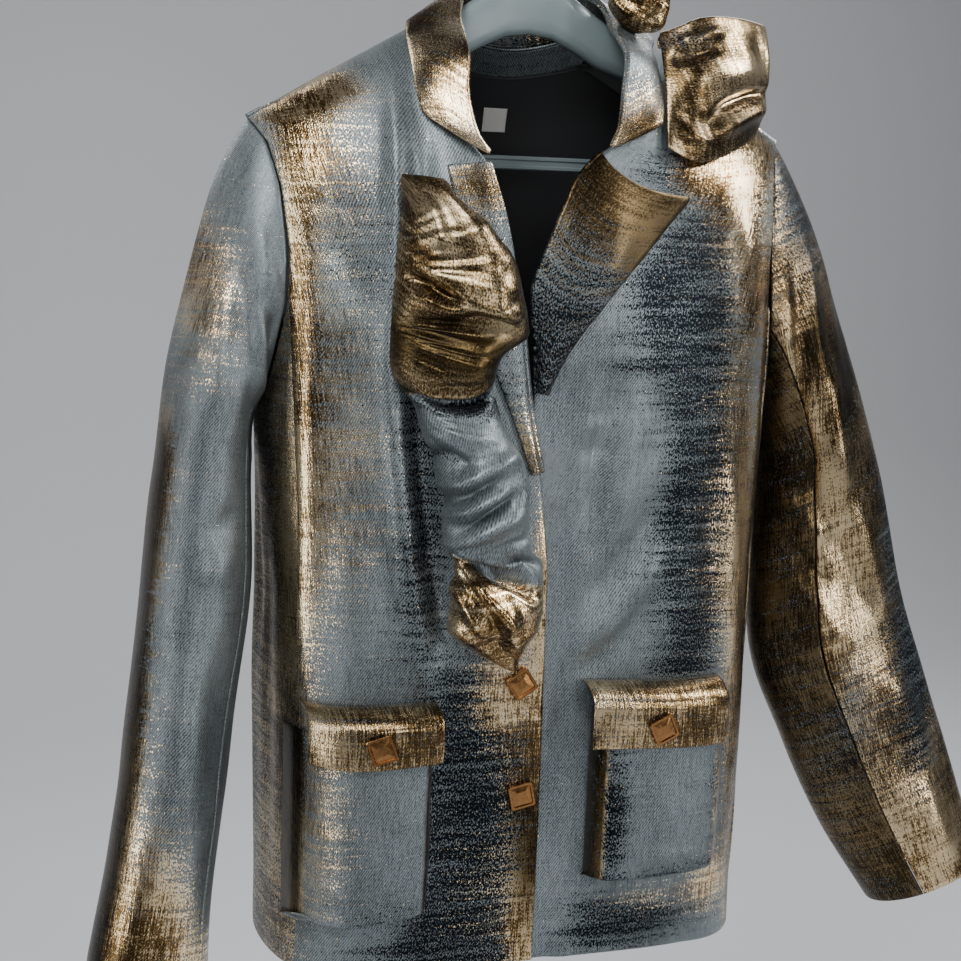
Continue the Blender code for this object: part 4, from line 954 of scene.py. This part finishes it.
# Folds by place: the fan of the upper puff, the fine gathers of the brown one, the hollows of the grey
# one, the lip over the last puff and the ridges inside that.
FOLDS_RUFFLE = [
    (-.112, -.288, -.050, -.262, .0060, .0016, -.006),
    (-.114, -.296, -.044, -.280, .0060, -.0016, -.006),
    (-.114, -.301, -.040, -.302, .0060, -.0018, -.005),
    (-.112, -.305, -.036, -.316, .0066, .0020, -.004),
    (-.122, -.306, -.080, -.330, .0048, -.0095, -.001),
    (-.118, -.315, -.072, -.336, .0042, .0045, -.002),
    (-.100, -.318, -.034, -.334, .0062, .0036, -.003),
    (-.096, -.330, -.036, -.344, .0044, -.0056, -.001),
    (-.104, -.254, -.096, -.296, .0050, .0026, .002),
    (-.088, -.250, -.062, -.270, .0046, -.0024, .002),
    (-.122, -.336, -.052, -.354, .0036, .0012, -.005),
    (-.122, -.342, -.052, -.360, .0034, -.0014, -.006),
    (-.122, -.349, -.052, -.366, .0036, .0014, -.006),
    (-.121, -.357, -.054, -.372, .0034, -.0014, -.006),
    (-.116, -.383, -.056, -.378, .0026, .0058, -.005),
    (-.110, -.389, -.046, -.387, .0034, -.0060, -.004),
    (-.102, -.408, -.052, -.416, .0050, .0030, -.003),
    (-.100, -.424, -.070, -.436, .0060, -.0085, -.001),
    (-.096, -.4550, -.034, -.4240, .0060, .0075, .002),
    (-.100, -.4500, -.086, -.4680, .0034, -.0090, 0),
    (-.092, -.4660, -.050, -.4370, .0046, -.0060, .001),
    (-.088, -.4740, -.044, -.4460, .0044, .0062, .001),
    (-.086, -.4850, -.034, -.4480, .0040, -.0080, .001),
    (-.086, -.4930, -.028, -.4620, .0050, .0066, .002),
    (-.046, -.420, -.036, -.470, .0066, .0036, .004),
    (-.060, -.494, -.020, -.482, .0040, -.0036, .001),
    (-.092, -.4915, -.014, -.5180, .0030, .0070, .006),
    (-.074, -.5010, -.012, -.5330, .0048, -.0120, .004),
    (-.070, -.506, -.032, -.552, .0056, .0070, -.004),
    (-.084, -.514, -.060, -.556, .0060, .0040, .003),
    (-.058, -.524, -.042, -.572, .0046, -.0044, -.003),
    (-.046, -.526, -.026, -.576, .0050, .0040, -.003),
    (-.076, -.548, -.030, -.576, .0044, -.0024, 0),
]
# Painted shade: black laid into the creases and hollows of the ruffle, under the brown puff and in the grey
# one.
RUFFLE_CREASE_SHADE = [
    (-.075, -.395, .050, .009, 1.2), (-.050, -.404, .030, .020, .5), (-.092, -.430, .012, .007, .8),
    (-.096, -.459, .007, .009, .9), (-.060, -.467, .024, .005, .5), (-.106, -.450, .010, .040, .5),
]


def ruffle_grid():
    """The puffs of the strip, from its outer caught-down side over its arch to the inner one."""
    across = np.array([0, .03, .09, .18, .30, .43, .57, .70, .82, .91, .97, 1.0])
    control = []
    for z, outer, inner, high in RUFFLE:
        x = outer + (inner - outer) * across
        over_lapel = np.clip((z + .385) / .012, 0, 1)
        arch = (1 - np.abs(2 * across - 1) ** 3.2) ** .62
        zz = z - .012 * (across - .5) * min(1, high / .03)
        base = .0018 + over_lapel * (.0102 * np.clip((across - .35) / .3, 0, 1))
        control.append(np.stack([-x, front_y(x, zz) - base - high * arch, zz], -1))
    return surface(np.array(control), np.linspace(0, 1, 300), np.linspace(0, 1, 110))


def gathers(x, z, table):
    """The fine pleats of gathered cloth: rows as for folds, with the spacing of the pleats."""
    lift = np.zeros_like(x)
    for x0, z0, x1, z1, wide, high, pitch in table:
        length = np.hypot(x1 - x0, z1 - z0)
        s = ((x - x0) * (x1 - x0) + (z - z0) * (z1 - z0)) / length ** 2
        off = ((z - z0) * (x1 - x0) - (x - x0) * (z1 - z0)) / length
        fan = off / (.55 + .75 * np.clip(s, 0, 1.2))
        near = np.exp(-(off / wide) ** 4) * np.clip(s / .1, 0, 1) * np.clip((1.05 - s) / .7, 0, 1)
        wander = 2.2 * np.sin(s * 3.1) + 1.4 * np.sin(fan / pitch * 1.7)
        lift += high * near * np.sin(2 * pi * fan / pitch + wander)
    return lift


GATHERS_RUFFLE = [
    (-.122, -.304, -.050, -.296, .030, .0006, .0105), (-.124, -.350, -.056, -.366, .018, .0007, .0052),
    (-.092, -.500, -.020, -.478, .018, .0006, .0110), (-.080, -.504, -.036, -.580, .022, .0005, .0100),
    (-.100, -.404, -.050, -.412, .014, .0006, .0090),
]
grid = ruffle_grid()
x, z = grid[..., 0], grid[..., 2]
# The upper puffs are gold above a slanting line, brown in their lower half, and the last puff is gold
# under its lip.
slope = .12 * (x + .085)
upper = np.clip((z - slope + .388) / .004, 0, 1)
brown = np.exp(-((z + .18 * (x + .085) + .359) / .0225) ** 4)
lip = -.4890 - .34 * (x + .092)
last = np.clip((lip - .004 - z) / .004, 0, 1)
# The crease table darkens the ruffle's creases and hollows with painted shade.
cloth("ruffle_strip", "ruffle", grid, folds(x, z, FOLDS_RUFFLE) + gathers(x, z, GATHERS_RUFFLE),
      -.5 + 1.8 * np.maximum(upper, last), patches(x, z, -.55, RUFFLE_CREASE_SHADE), .60 * upper + .40 * brown,
      material=FINE_CLOTH, thick=.0010, roll=.0006)


# Bow on the left shoulder
# A wide loop of the cloth stands up from the shoulder beside the neck, a twisted knot pulls it in, and
# a second loop runs back behind the neck.

# Front of the wide loop: x, y, top height, bottom height.
WING_FRONT = [
    (.0835, -.047, -.1360, -.2180), (.0940, -.056, -.1320, -.2240), (.1060, -.060, -.1260, -.2270),
    (.1220, -.058, -.1230, -.2240), (.1390, -.052, -.1220, -.2180), (.1550, -.044, -.1220, -.2120),
    (.1700, -.034, -.1230, -.2060),
]


def wing_grid():
    """The loop from its front at the knot round its outer end and back to the neck."""
    outer = [(.1790, -.024, -.124, -.1950), (.1820, -.012, -.125, -.1880), (.1790, .001, -.125, -.1840)]
    rear = [(.1640, .010, -.124, -.1720), (.1430, .013, -.124, -.1600), (.1240, .012, -.126, -.1490),
            (.1080, .006, -.130, -.1400)]
    stations = WING_FRONT + outer + rear
    control = []
    for t in np.linspace(0, len(stations) - 1.0001, 20):
        x, y, top, low = along(stations, np.array(t))
        front = t < len(WING_FRONT) + .5
        surface_y = float(front_y(x, low)) if front else float(back_y(x, low))
        v = np.linspace(0, 1, 8)
        z = top + (low - top) * v
        bulge = .010 * np.sin(pi * v) * (1 if front else -.5)
        foot = min(y, surface_y - .009) if front else y
        slant = .005 * max(0, 1 - t / 3) * v
        control.append(np.stack([x - slant, y + (foot - y) * v ** 1.6 - bulge, z], -1))
    return surface(np.array(control), np.linspace(0, 1, 200), np.linspace(0, 1, 90))


FOLDS_WING = [
    (.084, -.150, .136, -.132, .0046, .0030, .002),
    (.084, -.160, .128, -.146, .0042, -.0048, .003),
    (.084, -.172, .150, -.164, .0080, .0026, .002),
    (.084, -.190, .126, -.200, .0050, -.0034, -.002),
    (.086, -.206, .120, -.216, .0050, .0036, 0),
    (.108, -.196, .184, -.172, .0040, -.0070, .004),
    (.112, -.210, .184, -.182, .0068, .0070, .003),
    (.140, -.128, .150, -.176, .0100, .0018, .002),
    (.160, -.126, .170, -.170, .0070, -.0016, .002),
]
grid = wing_grid()
x, z = grid[..., 0], grid[..., 2]
# The black patch and the gap in the gold at the upper end of the loop by the knot are painted shade in its
# folds there.
cloth("bow_wing_loop", "bow_wing", grid, folds(x, z, FOLDS_WING) + drift(grid, .035, .0010),
      patches(x, z, 1.2, [(.098, -.142, .020, .009, -.9)]),
      patches(x, z, -.1, [(.10, -.142, .03, .014, .9)]),
      .6 * np.clip((.146 - x) / .03, 0, 1) + patches(x, z, 0, [(.152, -.197, .034, .010, 1.0)]),
      material=FINE_CLOTH, thick=.0012, roll=.0009)


def puff_grid(table, pleats, depth):
    """A roll of cloth open at both ends: stations of centre, half width and half height."""
    t = np.linspace(0, len(table) - 1.0001, 70)
    places = along(table, t)
    run = np.gradient(places[:, :3], axis=0)
    e1 = np.cross(run, np.array([0, 0, 1.0]))
    e1 /= np.linalg.norm(e1, axis=1, keepdims=True)
    e2 = np.cross(e1, run)
    e2 /= np.linalg.norm(e2, axis=1, keepdims=True)
    a = np.linspace(0, 2 * pi, 90)
    share = 1 + depth * np.sin(pleats * a[None, :] + 1.5 * np.sin(2 * a)[None, :] + t[:, None] * .8)
    share = share * (1 + .03 * np.sin(t * 5)[:, None])
    side = places[:, 3:4, None] * (np.cos(a) * share)[..., None] * e1[:, None]
    up = places[:, 4:5, None] * (np.sin(a) * share)[..., None] * e2[:, None]
    return places[:, None, :3] + side + up


KNOT = [
    (.0880, -.0455, -.1235, .0095, .0115), (.0785, -.044, -.1213, .0145, .0175),
    (.0665, -.038, -.1164, .0150, .0180), (.0575, -.030, -.1074, .0110, .0120),
]
BACK_LOOP = [
    (.0563, -.0283, -.1052, .0090, .0100), (.0490, -.008, -.0915, .0110, .0120),
    (.0370, .020, -.0830, .0140, .0150), (.0150, .039, -.0800, .0170, .0180),
    (-.0120, .046, -.0800, .0160, .0150),
]
for name, solid, table, pleats, depth, under in (
        ("bow_knot_roll", "bow_knot", KNOT, 5, .07, "collar_cut"),
        ("bow_back_roll", "bow_back", BACK_LOOP, 4, .06, "bow_knot_roll")):
    cloth(name, solid, puff_grid(table, pleats, depth), gold=1.2, material=FINE_CLOTH, thick=.0010,
          roll=.0006)


# Pockets and flaps
# Two bellows pockets stand off the fronts on their folded sides. Each is closed by a flap that is sewn
# on above it and falls over its top edge.

# Side, outer and inner edge, top heights, bottom heights at the outer and inner edge, sewn stand-off.
POCKET_RIGHT = (-1, .1800, .085, -.6340, -.6240, -.7760, -.7570, .0028)
POCKET_LEFT = (1, .143, .031, -.6210, -.6150, -.7450, -.7450, .0024)
FLAP_RIGHT = (-1, .1730, .085, -.6115, -.6040, -.6520, -.6420, .0009)
FLAP_LEFT = (1, .134, .024, -.5990, -.5940, -.6440, -.6390, .0009)
POCKET_DEPTH = .0190
FLAP_STAND = POCKET_DEPTH + .0105


def body_normal(points):
    """Outward direction of the body's surface at each point."""
    def level(p):
        x, y, z = p[..., 0], p[..., 1], p[..., 2]
        depth = np.where(y < 0, read(BODY, z, 2), read(BODY, z, 3))
        t = np.clip((shoulder_z(x) - z) / np.where(y < 0, FRONT_REACH, BACK_REACH), 1e-7, 1)
        lift = np.sqrt(1 - (1 - t) ** 2)
        return (np.abs(x) / read(BODY, z, 1)) ** read(BODY, z, 4) + (y / (depth * lift)) ** 2
    step = np.eye(3) * 1e-6
    out = np.stack([level(points + step[k]) - level(points - step[k]) for k in range(3)], -1)
    return out / np.maximum(np.linalg.norm(out, axis=-1, keepdims=True), 1e-12)


def pocket_grid(side, outer, inner, top_out, top_in, low_out, low_in, root):
    """A pocket standing off the front on its two folded sides and its foot."""
    v, u = np.meshgrid(spaced(.16, .003), spaced(.13, .003), indexing="ij")
    x = outer + (inner - outer) * u
    z_top = top_out + (top_in - top_out) * u
    z = z_top + (low_out + (low_in - low_out) * u - z_top) * v
    edge = np.clip(np.minimum(u, 1 - u) / .042, 0, 1)
    foot = np.clip((1 - v) / .026, 0, 1)
    height = np.sqrt(1 - (1 - edge) ** 2.6) * np.sqrt(1 - (1 - foot) ** 2.6)
    puff = .003 * np.sin(pi * u) * np.sin(pi * np.minimum(v * .8, 1))
    base = np.stack([x, front_y(x, z), z], -1)
    base = base + body_normal(base) * (root * (1 - height))[..., None]
    base[..., 0] -= .009 * (1 - 2 * u) * height
    base[..., 1] -= (.0034 + POCKET_DEPTH + puff) * height
    base[..., 0] *= side
    return base


FOLDS_POCKET = [
    (-.150, -.660, -.130, -.760, .0120, -.0016, 0), (-.110, -.650, -.112, -.750, .0110, .0012, .002),
    (-.170, -.740, -.100, -.745, .0060, .0012, -.003), (.110, -.640, .100, -.740, .0120, -.0016, 0),
    (.050, -.640, .062, -.735, .0120, .0012, -.002), (.040, -.722, .135, -.726, .0060, .0014, -.003),
]
for word, data, gold, ink_and_shade in (
        ("right", POCKET_RIGHT, [(-.165, -.700, .022, .080, .85)], [(-.12, -.76, .05, .015, .5)]),
        ("left", POCKET_LEFT, [(.136, -.690, .008, .090, 1.1)],
         [(.044, -.695, .014, .060, 1.1), (.090, -.742, .050, .010, .7), (.134, -.68, .012, .08, .6)])):
    grid = pocket_grid(*data)
    x, z = grid[..., 0], grid[..., 2]
    far = np.abs(np.linspace(-1, 1, grid.shape[1])[None, :] + z * 0)
    gusset = np.clip((far - .86) / .04, 0, 1)
    cloth("pocket_" + word + "_cut", "pocket_" + word, grid,
          folds(x, z, FOLDS_POCKET) + drift(grid, .04, .0005), patches(x, z, -.36, gold) + 1.3 * gusset,
          patches(x, z, -.25, ink_and_shade), gusset)


def flap_grid(side, outer, inner, top_out, top_in, low_out, low_in, root):
    """A flap that rolls out from its seam and falls over the pocket's top."""
    v, u = np.meshgrid(spaced(.062, .002), spaced(.105, .002), indexing="ij")
    x = outer + (inner - outer) * u
    z_top = top_out + (top_in - top_out) * u
    z = z_top + (low_out + (low_in - low_out) * u - z_top) * v
    out = np.clip(v / .34, 0, 1)
    share = np.sqrt(1 - (1 - out) ** 2)
    base = np.stack([x, front_y(x, z), z], -1)
    base = base + body_normal(base) * (root * (1 - share))[..., None]
    base[..., 1] -= (FLAP_STAND - .0010 * (2 * u - 1) ** 2) * share
    base[..., 0] *= side
    return base


for word, data in (("right", FLAP_RIGHT), ("left", FLAP_LEFT)):
    grid = flap_grid(*data)
    cloth("flap_" + word + "_cut", "flap_" + word, grid, drift(grid, .03, .0006), 1.0, .2, .45, thick=.0019,
          roll=.0010)


# Buttons
# Four square plates of aged, reddish brass with a raised rim, two on the front edge and one on each
# flap. The middle is plain: a low dome without any mark. They are the solids themselves.

def brass_finish():
    material, tree, shader = new_material("brass")
    where = node(tree, "ShaderNodeTexCoord", {}).outputs["Object"]
    wear = noise(tree, where, (320, 320, 320), 3.0, .6)
    colour = blend(tree, wear, (.15, .065, .024, 1), (.42, .22, .085, 1))
    tree.links.new(colour, shader.inputs["Base Color"])
    shader.inputs["Metallic"].default_value = 1.0
    tree.links.new(maths(tree, "MULTIPLY_ADD", wear, .25, .12), shader.inputs["Roughness"])
    return material


BRASS = brass_finish()
for name in ("button_front_upper", "button_front_lower", "button_flap_right", "button_flap_left"):
    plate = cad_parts[name]
    plate.data.materials.clear()
    plate.data.materials.append(BRASS)


# Hanger
# A moulded grey-green hanger with broad shoulders, a trouser bar with two ribs, and a bent steel hook.
# Each is a copy of its solid, merged and shaded smooth except along its sharp edges.

def hanger_plastic():
    material, tree, shader = new_material("hanger plastic")
    where = node(tree, "ShaderNodeTexCoord", {}).outputs["Object"]
    slow = noise(tree, where, (40, 40, 40), 3.0, .5)
    fine = noise(tree, where, (900, 900, 900), 2.0, .5)
    colour = blend(tree, slow, (.130, .172, .180, 1), (.180, .222, .232, 1))
    tree.links.new(colour, shader.inputs["Base Color"])
    shader.inputs["Roughness"].default_value = .38
    shader.inputs["Coat Weight"].default_value = .15
    bump = node(tree, "ShaderNodeBump", {"Height": fine, "Strength": .08, "Distance": .0002})
    tree.links.new(bump.outputs[0], shader.inputs["Normal"])
    return material


def hook_steel():
    material, tree, shader = new_material("hook steel")
    where = node(tree, "ShaderNodeTexCoord", {}).outputs["Object"]
    drawn = noise(tree, where, (1500, 1500, 60), 2.0, .5)
    colour = blend(tree, drawn, (.50, .51, .53, 1), (.72, .73, .75, 1))
    tree.links.new(colour, shader.inputs["Base Color"])
    shader.inputs["Metallic"].default_value = 1.0
    tree.links.new(maths(tree, "MULTIPLY_ADD", drawn, .15, .14), shader.inputs["Roughness"])
    return material


PLASTIC = hanger_plastic()
STEEL_WIRE = hook_steel()
for name, finish, slot, sharp in (
        ("hanger_body", PLASTIC, "plastic", 62), ("hanger_bar", PLASTIC, "plastic", 40),
        ("hanger_hook", STEEL_WIRE, "steel", 70)):
    bm = bmesh.new()
    bm.from_mesh(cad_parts[name].data)
    bmesh.ops.remove_doubles(bm, verts=bm.verts, dist=.00002)
    for f in bm.faces:
        f.smooth = True
    for e in bm.edges:
        e.smooth = len(e.link_faces) == 2 and e.calc_face_angle(0) < radians(sharp)
    mesh = bpy.data.meshes.new(name)
    bm.to_mesh(mesh)
    bm.free()
    mesh.materials.append(finish)
    part = bpy.data.objects.new(name + "_moulded", mesh)
    bpy.context.collection.objects.link(part)
    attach(part, "root")
    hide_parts(name)


# Stage, camera and light
# A pale floor that rises behind into a plain pale wall, and the camera at the photograph's angle. Seven
# soft lights: a key and a fill in front, a strip on each side, one high on the right, and two behind.

# The floor's height, front and rear ends and half width, the radius of its bend and the wall's height.
FLOOR_Z = -1.35
FLOOR_FRONT = -4
FLOOR_REAR = 2
FLOOR_HALF = 5
BEND = 1.0
WALL = 12


def stage_material():
    material, _, shader = new_material("pale floor")
    shader.inputs["Base Color"].default_value = (.52, .53, .55, 1)
    shader.inputs["Roughness"].default_value = .85
    return material


profile = bmesh.new()
bmesh.ops.create_grid(profile, x_segments=2, y_segments=48, size=1)
for v in profile.verts:
    s = (v.co.y + 1) / 2
    bend = np.clip((s - .5) / .16, 0, 1) * pi / 2
    y = FLOOR_FRONT + (FLOOR_REAR - FLOOR_FRONT) * min(s, .5) / .5 + BEND * sin(bend)
    z = FLOOR_Z + BEND * (1 - cos(bend)) + max(0, s - .66) * WALL
    v.co = (v.co.x * FLOOR_HALF, y, z)
for f in profile.faces:
    f.smooth = True
mesh = bpy.data.meshes.new("floor")
profile.to_mesh(mesh)
profile.free()
mesh.materials.append(stage_material())
floor = bpy.data.objects.new("floor", mesh)
bpy.context.collection.objects.link(floor)

# What the camera looks at, how far off and from where, in degrees round and up.
TARGET = Vector((-.025, 0, -.470))
DISTANCE = 1.25
ROUND = -17
UP = 11


def direction(azimuth, elevation):
    a, e = radians(azimuth), radians(elevation)
    return Vector((sin(a) * cos(e), -cos(a) * cos(e), sin(e)))


camera = bpy.data.cameras.new("camera")
camera.lens = 61.4
camera.sensor_width = 36
camera.clip_start = .05
view = bpy.data.objects.new("camera", camera)
view.location = TARGET + direction(ROUND, UP) * DISTANCE
view.rotation_mode = "QUATERNION"
view.rotation_quaternion = (TARGET - view.location).to_track_quat("-Z", "Y")
bpy.context.collection.objects.link(view)
bpy.context.scene.camera = view


def soft_light(name, azimuth, elevation, distance, wide, tall, power):
    lamp = bpy.data.lights.new(name, "AREA")
    lamp.shape = "RECTANGLE"
    lamp.size = wide
    lamp.size_y = tall
    lamp.energy = power
    holder = bpy.data.objects.new(name, lamp)
    holder.location = TARGET + direction(azimuth, elevation) * distance
    holder.rotation_mode = "QUATERNION"
    holder.rotation_quaternion = (TARGET - holder.location).to_track_quat("-Z", "Y")
    bpy.context.collection.objects.link(holder)


# Direction round and up in degrees, distance, width and height in metres, and watts.
soft_light("key", -40, 46, 2.3, .9, 1.1, 44)
soft_light("left strip", -84, 4, 2.0, .30, 1.9, 14)
soft_light("right strip", 36, 14, 2.4, .20, 2.0, 32)
soft_light("high right", 80, 38, 2.3, .6, 1.0, 47)
soft_light("front fill", -10, 8, 2.4, .8, .8, 11)
soft_light("rear left", 150, 36, 2.5, 1.0, 1.3, 26)
soft_light("rear right", -142, 34, 2.5, 1.0, 1.3, 22)
world = bpy.data.worlds.new("studio")
bpy.context.scene.world = world
world.use_nodes = True
seen = node(world.node_tree, "ShaderNodeLightPath", {}).outputs["Is Camera Ray"]
glow = world.node_tree.nodes["Background"]
glow.inputs["Color"].default_value = (.62, .65, .70, 1)
world.node_tree.links.new(blend(world.node_tree, seen, .085, .42), glow.inputs["Strength"])
